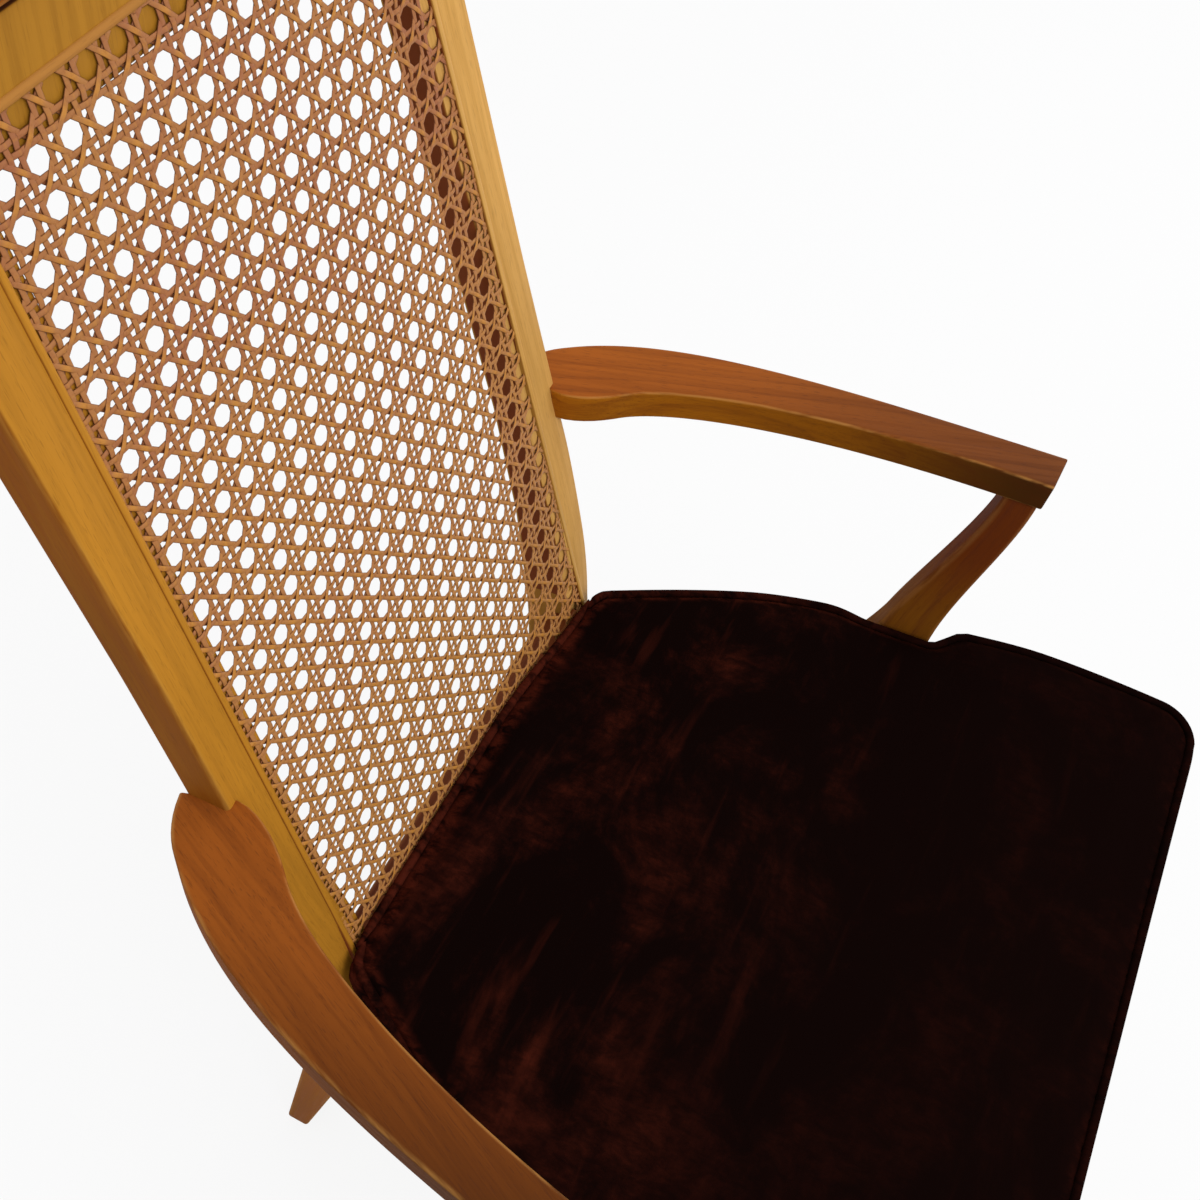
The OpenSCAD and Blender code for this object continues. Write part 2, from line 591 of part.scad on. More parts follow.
// Corner blocks, glued and screwed into the four corners
module corner_block_front(s) place() side(s) color("#B89060") difference() {
    translate([0, 0, block_z]) linear_extrude(block_h) polygon([
        [front_corner[0], rail_front_y + rail_t], [front_corner[0], front_corner[1] - 1],
        [front_corner[0] + 1, front_corner[1]], [front_corner[0] + 6, front_corner[1]],
        [front_corner[0] + 6, front_corner[1] + 18],
        [front_corner[0] - block_l, rail_front_y + rail_t + 8],
        [front_corner[0] - block_l, rail_front_y + rail_t]]);
    side_rail_slab(0);
    block_screw_set(fit_gap);
    board_screw_set(fit_gap);
}
module corner_block_front_left() corner_block_front(-1);
module corner_block_front_right() corner_block_front(1);

module corner_block_rear(s) place() side(s) color("#B89060") difference() {
    translate([0, 0, block_z]) linear_extrude(block_h) polygon([
        [rear_corner, back_rail_y], [rear_corner - block_l, back_rail_y],
        [rear_corner - block_l, back_rail_y - 8],
        [rear_corner - 2, back_rail_y - block_l + 6], [rear_corner + 30, back_rail_y - block_l + 6],
        [rear_corner + 30, back_rail_y]]);
    post_blank();
    side_rail_slab(0);
    block_screw_set(fit_gap);
    board_screw_set(fit_gap);
}
module corner_block_rear_left() corner_block_rear(-1);
module corner_block_rear_right() corner_block_rear(1);

// Dowels: each set is drawn once, as the pegs and, with a gap, as their bores
module peg_x(x, y, z, gap) translate([x - dowel_l / 2 - gap, y, z]) rotate([0, 90, 0])
    cylinder(d = dowel_d + 2 * gap, h = dowel_l + 2 * gap);
module peg_y(x, y, z, gap) translate([x, y - dowel_l / 2 - gap, z]) rotate([-90, 0, 0])
    cylinder(d = dowel_d + 2 * gap, h = dowel_l + 2 * gap);

module frame_dowels(gap = 0) for (z = dowel_z) {
    peg_x(leg_out_x - leg_top_w, rail_front_y + rail_t / 2, z, gap);
    peg_x(rear_corner, back_rail_y + rail_t / 2, z, gap);
}
module side_dowels(gap = 0) for (z = dowel_z) {
    peg_y(leg_out_x - rail_t / 2 - 3, rail_front_y + leg_top_w, z + 8, gap);
    peg_y(pad_rear_half - 28, bend_mid[0] - post_bend_r, z - 8, gap);
}
module back_dowels(gap = 0) on_back() {
    for (t = [back_len - top_rail_h * 0.72, back_len - top_rail_h * 0.3])
        peg_x(open_half(t), back_rail_t / 2 + 3, t, gap);
    for (t = [low_rail_top - low_rail_h * 0.3, low_rail_top - low_rail_h * 0.75])
        peg_x(open_seat - 6, back_rail_t / 2 + 5, t, gap);
}
module arm_side_dowels(gap = 0) peg_x(arm_joint[0], arm_joint[1] + 8, arm_top - arm_t / 2, gap);
module arm_top_dowels(gap = 0) in_arm_post() translate([post_lean + post_w / 2 - 2, -post_rise_fwd,
    arm_bottom - seat_h - dowel_l * 0.6 - gap]) cylinder(d = dowel_d + 2 * gap, h = dowel_l + 2 * gap);

module seat_frame_dowels() place() color("#D8B98A") pair() {
    frame_dowels();
    side_dowels();
}
module back_frame_dowels() place() color("#D8B98A") pair() back_dowels();
module arm_dowels() place() color("#D8B98A") pair() {
    arm_side_dowels();
    arm_top_dowels();
}

// Wood screws: a countersunk head and a plain shank, head at the origin, pointing along +z
module screw(gap, l = screw_l) {
    shank = screw_d + 2 * gap;
    head = screw_d * 2 + 2 * gap;
    translate([0, 0, -gap]) {
        cylinder(d = shank, h = l + 2 * gap);
        cylinder(d1 = head, d2 = shank, h = screw_d * 0.6);
    }
    if (gap > 0) translate([0, 0, -6]) cylinder(d = head, h = 6);
}
module arm_side_screws(gap = 0) translate([open_seat + 2, arm_joint[1] + 21, arm_top - arm_t / 2])
    rotate([0, 90, 0]) screw(gap, screw_l + 18);
module post_screw_set(gap = 0) in_arm_post() for (z = [-pad_h - rail_h * 0.3, -pad_h - rail_h * 0.7])
    translate([post_lap - rail_inset - side_rail_t + 2, 0, z]) rotate([0, 90, 0])
        screw(gap, screw_l - 10);
module block_screw_set(gap = 0) {
    z = block_z + block_h / 2;
    translate([front_corner[0] - block_l + 16, rail_front_y + rail_t + 12, z]) rotate([90, 0, 0])
        screw(gap, screw_l - 8);
    translate([rear_corner - block_l + 16, back_rail_y - 12, z]) rotate([-90, 0, 0])
        screw(gap, screw_l - 8);
    translate([rear_corner - block_l - 24, back_rail_y - cleat_w + 3, rail_top - cleat_w / 2])
        rotate([-90, 0, 0]) screw(gap, screw_l - 4);
}
module board_screw_set(gap = 0) {
    l = rail_top - block_z + board_t - 3;
    translate([front_corner[0] - 18, rail_front_y + rail_t + 12, block_z]) screw(gap, l);
    translate([rear_corner - 20, back_rail_y - 28, block_z]) screw(gap, l);
}
module arm_screws() place() color("#B9A56A") pair() arm_side_screws();
module arm_post_screws() place() color("#B9A56A") pair() post_screw_set();
module block_screws() place() color("#B9A56A") pair() block_screw_set();
module seat_board_screws() place() color("#B9A56A") pair() board_screw_set();

// Foot glides: a disc with a nail
module glide_at(x, y, gap) translate([x, y, 0]) {
    cylinder(d = glide_d, h = glide_h);
    translate([0, 0, glide_h - tiny]) cylinder(d = 3 + 2 * gap, h = 14 + gap);
}
module front_glide(gap = 0) glide_at(leg_out_x - leg_foot_w / 2, rail_front_y + leg_foot_w / 2, gap);
module rear_glide(gap = 0)
    glide_at(post_out_foot - rear_foot_w / 2, foot_front[0] + rear_foot_d / 2, gap);
module glide_front_left() place() side(-1) color("#3A3530") front_glide();
module glide_front_right() place() side(1) color("#3A3530") front_glide();
module glide_rear_left() place() side(-1) color("#3A3530") rear_glide();
module glide_rear_right() place() side(1) color("#3A3530") rear_glide();

back_post_left();
back_post_right();
top_rail();
crest_cap();
lower_back_rail();
cane_panel();
cane_spline_left();
cane_spline_right();
cane_spline_top();
cane_spline_bottom();
arm_left();
arm_right();
arm_post_left();
arm_post_right();
front_leg_left();
front_leg_right();
seat_rail_front();
seat_rail_back();
seat_rail_left();
seat_rail_right();
corner_block_front_left();
corner_block_front_right();
corner_block_rear_left();
corner_block_rear_right();
seat_cleat();
seat_board();
seat_pad();
seat_welt();
dust_cover();
seat_frame_dowels();
back_frame_dowels();
arm_dowels();
arm_screws();
arm_post_screws();
block_screws();
seat_board_screws();
glide_front_left();
glide_front_right();
glide_rear_left();
glide_rear_right();
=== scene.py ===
import json
import math
import random

import bmesh
import bpy
from mathutils import Matrix, Vector, kdtree, noise


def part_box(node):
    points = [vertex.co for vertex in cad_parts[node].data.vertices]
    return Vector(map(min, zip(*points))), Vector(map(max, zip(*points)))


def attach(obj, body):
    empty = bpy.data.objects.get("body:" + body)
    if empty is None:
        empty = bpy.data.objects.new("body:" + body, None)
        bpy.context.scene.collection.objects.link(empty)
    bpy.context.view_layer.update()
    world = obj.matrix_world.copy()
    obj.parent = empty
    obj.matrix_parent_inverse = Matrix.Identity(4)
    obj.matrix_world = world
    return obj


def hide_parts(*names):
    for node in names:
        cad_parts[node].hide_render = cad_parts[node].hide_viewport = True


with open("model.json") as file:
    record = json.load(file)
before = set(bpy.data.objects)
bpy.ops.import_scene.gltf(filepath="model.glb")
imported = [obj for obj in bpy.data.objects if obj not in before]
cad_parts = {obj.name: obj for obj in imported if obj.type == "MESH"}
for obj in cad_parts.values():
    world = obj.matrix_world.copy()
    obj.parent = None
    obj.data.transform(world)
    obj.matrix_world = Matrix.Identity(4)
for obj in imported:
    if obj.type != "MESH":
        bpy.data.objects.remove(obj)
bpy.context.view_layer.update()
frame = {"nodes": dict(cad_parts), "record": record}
mm = 0.001
dice = random.Random(11)
print("frame loaded,", len(frame["nodes"]), "nodes")

# Main sizes in millimetres and degrees. y runs back from the foot of the cane, z up from the seat
chair = {
    "seatHeight": 457, "seatDepth": 479, "rearWidth": 369, "frontWidth": 635, "bow": 29,
    "cornerRadius": 37, "padHeight": 52, "padCrown": 13, "railInset": 12, "railHeight": 62,
    "rake": 17.7, "backLength": 594, "splay": 11.5, "bendStart": 57, "bendRadius": 571,
    "openTop": 142, "openSeat": 153.5, "caneTop": 564.5, "caneBottom": -23, "glideHeight": 4,
    "armHeight": 180, "armThickness": 25, "armFrontX": 323, "armReach": 282, "armFrontWidth": 33,
}
seatZ = chair["seatHeight"]
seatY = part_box("seat_pad")[0].y / mm + chair["seatDepth"]
sinRake, cosRake = math.sin(math.radians(chair["rake"])), math.cos(math.radians(chair["rake"]))
sinSplay, cosSplay = math.sin(math.radians(chair["splay"])), math.cos(math.radians(chair["splay"]))
backLength, openTop = chair["backLength"], chair["openTop"]
armTop, armBottom = chair["armHeight"], chair["armHeight"] - chair["armThickness"]
railTop, railFoot = -chair["padHeight"], -chair["padHeight"] - chair["railHeight"]
footZ = chair["glideHeight"] - seatZ


# Small helpers
def lerp(a, b, t):
    return a + (b - a) * t


def smooth(t):
    t = min(max(t, 0), 1)
    return t * t * (3 - 2 * t)


def interpolate(x, pairs):
    pairs = sorted(pairs)
    if x <= pairs[0][0]:
        return pairs[0][1]
    for (x0, y0), (x1, y1) in zip(pairs, pairs[1:]):
        if x <= x1:
            return y0 if x1 == x0 else lerp(y0, y1, (x - x0) / (x1 - x0))
    return pairs[-1][1]


def bezier(points, count):
    out = []
    for i in range(count + 1):
        level = [Vector(p) for p in points]
        while len(level) > 1:
            level = [a.lerp(b, i / count) for a, b in zip(level, level[1:])]
        out.append(level[0])
    return out


def onSeat(x, y, z):
    return Vector((x, seatY + y, seatZ + z))


def onBack(x, depth, t):
    return onSeat(x, depth * cosRake + t * sinRake, t * cosRake - depth * sinRake)


def openHalf(t):
    return lerp(chair["openSeat"], chair["openTop"], t / chair["backLength"])


def tone(code):
    channels = [int(code[i:i + 2], 16) / 255 for i in (0, 2, 4)]
    linear = [c / 12.92 if c < 0.04045 else ((c + 0.055) / 1.055) ** 2.4 for c in channels]
    return (*linear, 1.0)


# Shader helpers
def makeNode(tree, kind, inputs=None, **settings):
    node = tree.nodes.new(kind)
    for key, value in settings.items():
        setattr(node, key, value)
    for key, value in (inputs or {}).items():
        if isinstance(value, bpy.types.NodeSocket):
            tree.links.new(value, node.inputs[key])
        else:
            node.inputs[key].default_value = value
    return node


def mathNode(tree, operation, a, b=0.0, clamp=False):
    return makeNode(tree, "ShaderNodeMath", {0: a, 1: b}, operation=operation, use_clamp=clamp).outputs[0]


def times(tree, a, b, clamp=False):
    return mathNode(tree, "MULTIPLY", a, b, clamp)


def mixColor(tree, factor, a, b, blend="MIX"):
    return makeNode(tree, "ShaderNodeMix", {0: factor, 6: a, 7: b}, data_type="RGBA",
                    blend_type=blend).outputs[2]


def remap(tree, value, low, high, toLow=0.0, toHigh=1.0, kind="SMOOTHSTEP"):
    return makeNode(tree, "ShaderNodeMapRange", {0: value, 1: low, 2: high, 3: toLow, 4: toHigh},
                    interpolation_type=kind).outputs[0]


def noiseNode(tree, vector, scale, detail=3.0, roughness=0.55, distortion=0.0):
    return makeNode(tree, "ShaderNodeTexNoise", {"Vector": vector, "Scale": scale, "Detail": detail,
                    "Roughness": roughness, "Distortion": distortion}).outputs[0]


def stretched(tree, vector, scale):
    return makeNode(tree, "ShaderNodeMapping", {"Vector": vector, "Scale": scale}).outputs[0]


# Turns a colour toward another one as a value runs through a span
def tinted(tree, color, code, value, *span):
    return mixColor(tree, remap(tree, value, *span), color, tone(code))


def axes(tree, vector):
    return makeNode(tree, "ShaderNodeSeparateXYZ", {0: vector}).outputs


def objectPlace(tree):
    return makeNode(tree, "ShaderNodeTexCoord").outputs["Object"]


def surfaceNormal(tree):
    return makeNode(tree, "ShaderNodeNewGeometry").outputs["Normal"]


def attribute(tree, name, output="Fac"):
    return makeNode(tree, "ShaderNodeAttribute", attribute_name=name).outputs[output]


def bumped(tree, shader, strength, distance, height):
    bump = makeNode(tree, "ShaderNodeBump", {"Strength": strength, "Distance": distance, "Height": height})
    tree.links.new(bump.outputs[0], shader.inputs["Normal"])


def newGroup(name, inputs, outputs):
    group = bpy.data.node_groups.new(name, "ShaderNodeTree")
    for socketName, kind, value in inputs:
        socket = group.interface.new_socket(socketName, in_out="INPUT", socket_type=kind)
        if value is not None:
            socket.default_value = value
    for socketName in outputs:
        group.interface.new_socket(socketName, in_out="OUTPUT", socket_type="NodeSocketFloat")
    return group, group.nodes.new("NodeGroupInput").outputs, group.nodes.new("NodeGroupOutput").inputs


def placeGroup(tree, group, inputs):
    return makeNode(tree, "ShaderNodeGroup", inputs, node_tree=group).outputs


def newMaterial(name, **constants):
    material = bpy.data.materials.new(name)
    material.use_nodes = True
    tree = material.node_tree
    shader = tree.nodes["Principled BSDF"]
    for key, value in constants.items():
        shader.inputs[key].default_value = value
    return material, tree, shader


# How fine the wood's figure is on its three axes, the last of them along the grain
woodFigure = {"streaks": (300, 300, 7), "bend": (16, 16, 3.2), "pores": (1700, 1700, 110),
              "patches": (14, 14, 5), "wear": (160, 160, 22), "ringSlant": 0.55, "ringBend": 0.06}


# Grain of sawn wood: fine streaks, growth rings and short dark pores, along the z of its vector
def woodGrainGroup():
    group, given, out = newGroup("woodGrain", [
        ("Vector", "NodeSocketVector", None), ("Ring Spacing", "NodeSocketFloat", 0.012),
        ("Ring Bend", "NodeSocketFloat", woodFigure["ringBend"])], ("Streaks", "Rings", "Pores", "Patches"))

    def figure(key, detail, roughness=0.5):
        return noiseNode(group, stretched(group, given["Vector"], woodFigure[key]), 1.0, detail, roughness)

    across = axes(group, given["Vector"])
    bent = times(group, mathNode(group, "SUBTRACT", figure("bend", 1.0), 0.5), given["Ring Bend"])
    position = mathNode(group, "ADD", mathNode(group, "ADD", across[0], bent),
                        times(group, across[1], woodFigure["ringSlant"]))
    wave = mathNode(group, "FRACT", mathNode(group, "DIVIDE", position, given["Ring Spacing"]))
    rings = times(group, mathNode(group, "POWER", wave, 3.0), remap(group, wave, 0.9, 1.0, 1.0, 0.0))
    for key, value in (("Streaks", figure("streaks", 4.0, 0.6)), ("Rings", rings),
                       ("Patches", figure("patches", 2.0)),
                       ("Pores", remap(group, figure("pores", 1.0), 0.6, 0.7))):
        group.links.new(value, out[key])
    return group


# Rubbed edges: light where a hand wears them, broken up by noise
def edgeWearGroup():
    group, given, out = newGroup("edgeWear", [
        ("Edge", "NodeSocketFloat", 0.0), ("Vector", "NodeSocketVector", None),
        ("Amount", "NodeSocketFloat", 0.5)], ("Mask",))
    broken = noiseNode(group, stretched(group, given["Vector"], woodFigure["wear"]), 1.0, 3.0, 0.6)
    rubbed = times(group, remap(group, given["Edge"], 0.45, 1.0), remap(group, broken, 0.35, 0.62))
    group.links.new(times(group, rubbed, given["Amount"], True), out["Mask"])
    return group


woodGrain = woodGrainGroup()
edgeWear = edgeWearGroup()

# Wood finishes: colours as they look in daylight, except painted light and shade. side is the tone painted
# on faces turned from the light as their shade, face the lit colour, deep is painted shade in grooves,
# reveals and inner faces, and ringSpacing is in metres
finishKeys = ("face", "dark", "side", "deep", "worn", "ringSpacing", "rings", "pores", "wear")
finishes = {name: dict(zip(finishKeys, values)) for name, *values in (
    ("goldenWood", "bd8026", "93601c", "84480a", "6e2e14", "cf9c4a", 0.017, 0.2, 0.2, 0.25),
    # the right post and spline: goldenWood painted paler, as if more brightly lit
    ("goldenWoodPaintedLit", "d8a459", "b07c30", "a0702c", "6e2e14", "e2bc78", 0.017, 0.2, 0.15, 0.25),
    ("topRailWood", "ae7824", "8a5a18", "8f571c", "3a1218", "c08c40", 0.03, 0.2, 0.15, 0.2),
    ("armWood", "a05518", "74380f", "a8640f", "3c1418", "c9904a", 0.013, 0.4, 0.35, 0.5),
    ("postWood", "7a3f1c", "552512", "642c06", "3c1418", "a8713a", 0.014, 0.4, 0.35, 0.4),
    ("railWood", "8f5c24", "6a3f14", "4e2b10", "4a2012", "b98a45", 0.014, 0.35, 0.3, 0.15),
    ("beadWood", "b37a38", "8f5b28", "a8743a", "5c3010", "c79a60", 0.006, 0.1, 0.1, 0.2),
    ("paleWood", "c7a069", "a57d45", "c19a62", "a57d45", "d8b98a", 0.009, 0.5, 0.3, 0.0))}

# Painted shade on the arms: they are painted darker toward their fronts and on the left, as light falls off.
# Spans are in metres:
# side and front ones are distances from the seat's rear edge, the others run along x
armPaintedShade = {"leftSide": "94500a", "leftSpan": (0.1, -0.1), "frontSide": "2a1004",
            "sideSpan": (0.11, 0.28), "frontSpan": (0.02, 0.26), "frontFade": 0.48,
            "middleSpan": (0.0, -0.2), "middleFade": 0.88, "tipSpan": (-0.235, -0.3), "tipFade": 0.5}
# The posts' sides are painted darkest up under the arm, as shade, and turn golden lower down
postPaintedShade = {"foot": "7a480c", "span": (0.56, 0.46)}  # sides turn golden below this height


def woodMaterial(name):
    look, shade = finishes[name], armPaintedShade
    material, tree, shader = newMaterial(name, **{"Specular IOR Level": 0.08})
    carried = name != "paleWood"
    if carried:
        vector, edge = attribute(tree, "grain", "Vector"), attribute(tree, "edge")
    else:
        vector = makeNode(tree, "ShaderNodeMapping", {"Vector": objectPlace(tree),
                          "Rotation": (0, math.pi / 2, 0)}).outputs[0]
        edge = 0.0
    grain = placeGroup(tree, woodGrain, {"Vector": vector, "Ring Spacing": look["ringSpacing"]})
    normal, place, rear = axes(tree, surfaceNormal(tree)), axes(tree, objectPlace(tree)), seatY * mm
    # Painted light and shade: faces toward the light take the face colour, the others the side colour
    side = tone(look["side"])
    if name == "armWood":
        litFacing = remap(tree, normal[2], 0.35, 0.85)
        side = tinted(tree, side, shade["leftSide"], place[0], *shade["leftSpan"])
        start, end = (rear - y for y in shade["sideSpan"])
        side = tinted(tree, side, shade["frontSide"], place[1], start, end, 0.0, 0.75)
    else:
        litFacing = times(tree, remap(tree, normal[0], -0.75, -0.35), remap(tree, normal[1], 0.9, 0.4))
    # Painted shade: the posts' sides lighten low down, away from the arm
    if name == "postWood":
        side = tinted(tree, side, postPaintedShade["foot"], place[2], *postPaintedShade["span"])
    base = mixColor(tree, litFacing, side, tone(look["face"]))
    streaked = times(tree, remap(tree, grain["Streaks"], 0.42, 0.66), 0.3)
    lines = mathNode(tree, "ADD", times(tree, grain["Rings"], look["rings"]), streaked, True)
    color = mixColor(tree, lines, base, tone(look["dark"]))
    patchAndShade = remap(tree, grain["Patches"], 0.35, 0.7, 0.88, 1.08, "LINEAR")
    # Painted shade: the arms darken toward their front ends and on the left
    if name == "armWood":
        start, end = (rear - y for y in shade["frontSpan"])
        for value, *span in ((place[1], start, end, 1.0, shade["frontFade"], "LINEAR"),
                             (place[0], *shade["middleSpan"], 1.0, shade["middleFade"]),
                             (place[0], *shade["tipSpan"], 1.0, shade["tipFade"], "LINEAR")):
            patchAndShade = times(tree, patchAndShade, remap(tree, value, *span))
    patchAndShadeGrey = makeNode(tree, "ShaderNodeCombineColor", {0: patchAndShade, 1: patchAndShade, 2: patchAndShade}).outputs[0]
    color = mixColor(tree, 1.0, color, patchAndShadeGrey, "MULTIPLY")
    pores = times(tree, grain["Pores"], look["pores"])
    color = mixColor(tree, pores, color, tone("4a2410"))
    worn = placeGroup(tree, edgeWear, {"Edge": edge, "Vector": vector, "Amount": look["wear"]})
    color = mixColor(tree, worn["Mask"], color, tone(look["worn"]))
    # Painted shade: where the edge value is below zero, in grooves, reveals and on the posts' inner faces,
    # the wood takes the deep colour
    if carried:
        color = tinted(tree, color, look["deep"], edge, -0.05, -0.9, 0.0, 0.9)
    tree.links.new(color, shader.inputs["Base Color"])
    dull = mathNode(tree, "ADD", remap(tree, grain["Streaks"], 0.3, 0.7, 0.4, 0.56, "LINEAR"),
                    remap(tree, litFacing, 0.0, 1.0, 0.25, 0.0))
    tree.links.new(dull, shader.inputs["Roughness"])
    height = mathNode(tree, "SUBTRACT", times(tree, grain["Streaks"], 0.4), pores)
    bumped(tree, shader, 0.25, 0.0004, height)
    return material


woods = {name: woodMaterial(name) for name in finishes}
print("wood finishes made")


def addObject(name, data):
    thing = bpy.data.objects.new(name, data)
    bpy.context.scene.collection.objects.link(thing)
    return thing


# Every piece rides on the one body and hides the CAD node it stands for
def addPiece(name, mesh, material, node):
    piece = addObject(name, mesh)
    mesh.materials.clear()
    mesh.materials.append(material)
    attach(piece, "root")
    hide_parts(node)
    return piece


def addAttribute(mesh, name, values):
    mesh.attributes.new(name, "FLOAT", "POINT").data.foreach_set("value", values)


# Joins rings of points into a skin
def skin(work, rings, shaded):
    for first, second in zip(rings, rings[1:]):
        for i in range(len(first)):
            j = (i + 1) % len(first)
            work.faces.new((first[i], first[j], second[j], second[i])).smooth = shaded


def meshFrom(work, name):
    bmesh.ops.recalc_face_normals(work, faces=work.faces)
    mesh = bpy.data.meshes.new(name)
    work.to_mesh(mesh)
    work.free()
    return mesh


# Rounded edges of a bar. Steps divide a quarter turn, and the edge value falls from the arc's middle
rounding = {"steps": 5, "endSteps": 4, "least": 0.6, "most": 0.8, "beside": 2.5, "fall": 0.18}
cornerTurns = [((1, 0), (0, 1)), ((0, 1), (-1, 0)), ((-1, 0), (0, -1)), ((0, -1), (1, 0))]


def roundCorner(radius, inset, room=100):
    steps = rounding["steps"]
    r = min(max(radius - inset * 0.5, rounding["least"]), room * rounding["most"])
    flat = min(r + rounding["beside"], room)
    turns = [math.radians(90 / steps * k) for k in range(steps + 1)]
    arc = [(r * (1 - math.cos(a)), r * (1 - math.sin(a)), 1.0 - abs(k - steps / 2) * rounding["fall"])
           for k, a in enumerate(turns)]
    return [(0, flat, 0.0)] + arc + [(flat, 0, 0.0)]


def endStations(length, count, endRound, extra=()):
    stations = [(length * i / count, 0.0) for i in range(count + 1)]
    stations = [p for p in stations if endRound[0] < p[0] < length - endRound[1]]
    for k in range(rounding["endSteps"] + 1):
        a = math.radians(90 / rounding["endSteps"] * k)
        run, inset = 1 - math.cos(a), 1 - math.sin(a)
        stations.append((endRound[0] * run, endRound[0] * inset))
        stations.append((length - endRound[1] * run, endRound[1] * inset))
    stations += [(s, 0.0) for s in extra]
    return sorted(set(stations))


# A wooden bar: four corner lines along its length, rounded edges, rounded or flat ends. board is the
# grain's direction where it doesn't follow the bar
def barMesh(name, cornersAt, length, radii, count=24, endRound=(1.0, 1.0), shapes=None, extra=(),
            board=None):
    work = bmesh.new()
    # The edge value is above zero on worn rounded edges and below zero where shade is painted
    wearAndShadeLayer = work.verts.layers.float.new("edge")
    grainLayer = work.verts.layers.float_vector.new("grain")
    offset = Vector((dice.uniform(-1, 1), dice.uniform(-1, 1), dice.uniform(-1, 1)))
    boardTurn = board.normalized().to_track_quat("Z", "Y").inverted() if board else None
    rings = []
    for s, inset in endStations(length, count, endRound, extra):
        a, b, c, d = cornersAt(s)
        width, depth = (b - a).length, (d - a).length
        starts = [(0, 0), (width, 0), (width, depth), (0, depth)]
        room = 0.48 * min(width, depth) - inset
        ring = []
        for k, (outward, back) in enumerate(cornerTurns):
            shape = shapes(k, s) if shapes else None
            for p, q, edge in shape or roundCorner(radii[k], inset, room):
                u = starts[k][0] + outward[0] * (p + inset) + back[0] * (q + inset)
                v = starts[k][1] + outward[1] * (p + inset) + back[1] * (q + inset)
                point = a.lerp(b, u / width).lerp(d.lerp(c, u / width), v / depth)
                vert = work.verts.new(point * mm)
                vert[wearAndShadeLayer] = edge
                along = boardTurn @ point if board else Vector((u - width / 2, v - depth / 2, s))
                vert[grainLayer] = along * mm + offset
                ring.append(vert)
        rings.append(ring)
    skin(work, rings, True)
    for cap in (rings[0], rings[-1]):
        work.faces.new(cap).smooth = False
    return meshFrom(work, name)


def addBar(name, cornersAt, length, radii, wood, slotName, **options):
    mesh = barMesh(name, cornersAt, length, radii, **options)
    addPiece(f"{name}_wood", mesh, woods[wood], name)


def mirrored(cornersAt):
    flip = Vector((-1, 1, 1))
    return lambda s: [p * flip for p in cornersAt(s)]


# The left bar is the right one mirrored. askew moves the left one a little
def bothSides(name, cornersAt, length, radii, wood, slotName, woodRight=None, board=None, askew=None,
              **options):
    left = askew(mirrored(cornersAt)) if askew else mirrored(cornersAt)
    boardLeft = board and Vector((-board.x, board.y, board.z))
    addBar(f"{name}_left", left, length, radii, wood, slotName, board=boardLeft, **options)
    addBar(f"{name}_right", cornersAt, length, radii, woodRight or wood, slotName, board=board, **options)


# Back posts: a raked upper part, a bend at the seat and a splayed leg, in one piece
backPost = {
    "topDepth": 27, "seatDepth": 36, "footDepth": 20.5, "footWidth": 34, "outTop": 184, "outArm": 190,
    "outSeat": 182, "outFoot": 180, "innerEdge": 2.5, "frontEdge": 3.2, "backEdge": 3.0,
    "ledgeWidth": 8.6, "ledgeDepth": 2.1, "hidden": 10,
}
bendStart, bendRadius = chair["bendStart"], chair["bendRadius"]
postCentre = Vector((sinRake * bendStart, cosRake * bendStart)) + bendRadius * Vector((cosRake, -sinRake))
postBendEnd = postCentre - bendRadius * Vector((cosSplay, sinSplay))
postDrop = postBendEnd.y + seatZ - chair["glideHeight"]
postFoot = Vector((postBendEnd.x + postDrop * sinSplay / cosSplay, footZ))
postStraight = backLength - bendStart
postArc = bendRadius * math.radians(chair["rake"] + chair["splay"])
postLeg = (postFoot - postBendEnd).length
postLength = postStraight + postArc + postLeg

depthEnd = armTop + chair["armThickness"]
postDepths = [(t, lerp(backPost["seatDepth"], backPost["topDepth"], smooth(t / depthEnd)))
              for t in (lerp(backLength, bendStart, i / 4) for i in range(5))]
outTop, outArm, outSeat, outFoot = (backPost[key] for key in ("outTop", "outArm", "outSeat", "outFoot"))
openFoot = chair["openSeat"] - backPost["hidden"]
postTopZ = backLength * cosRake + 10


# A side line turned into pairs of height and reach
def byHeight(points):
    return [(z, x) for x, z in points]


postOuter = byHeight([
    (outTop, postTopZ),
    *bezier([(outTop + 3, armTop + 100), (outTop + 4.5, armTop + 45), (outArm, armTop + 2)], 12),
    *bezier([(outArm, armBottom - 2), (outArm + 3.5, 110), (outSeat + 6, 50), (outSeat, -20)], 16),
    (outFoot, footZ)])
postInner = byHeight([
    (openTop, postTopZ), (lerp(chair["openSeat"], openTop, 0.15), 80), (openFoot, railTop),
    (openFoot, railFoot), (outFoot - backPost["footWidth"], footZ)])


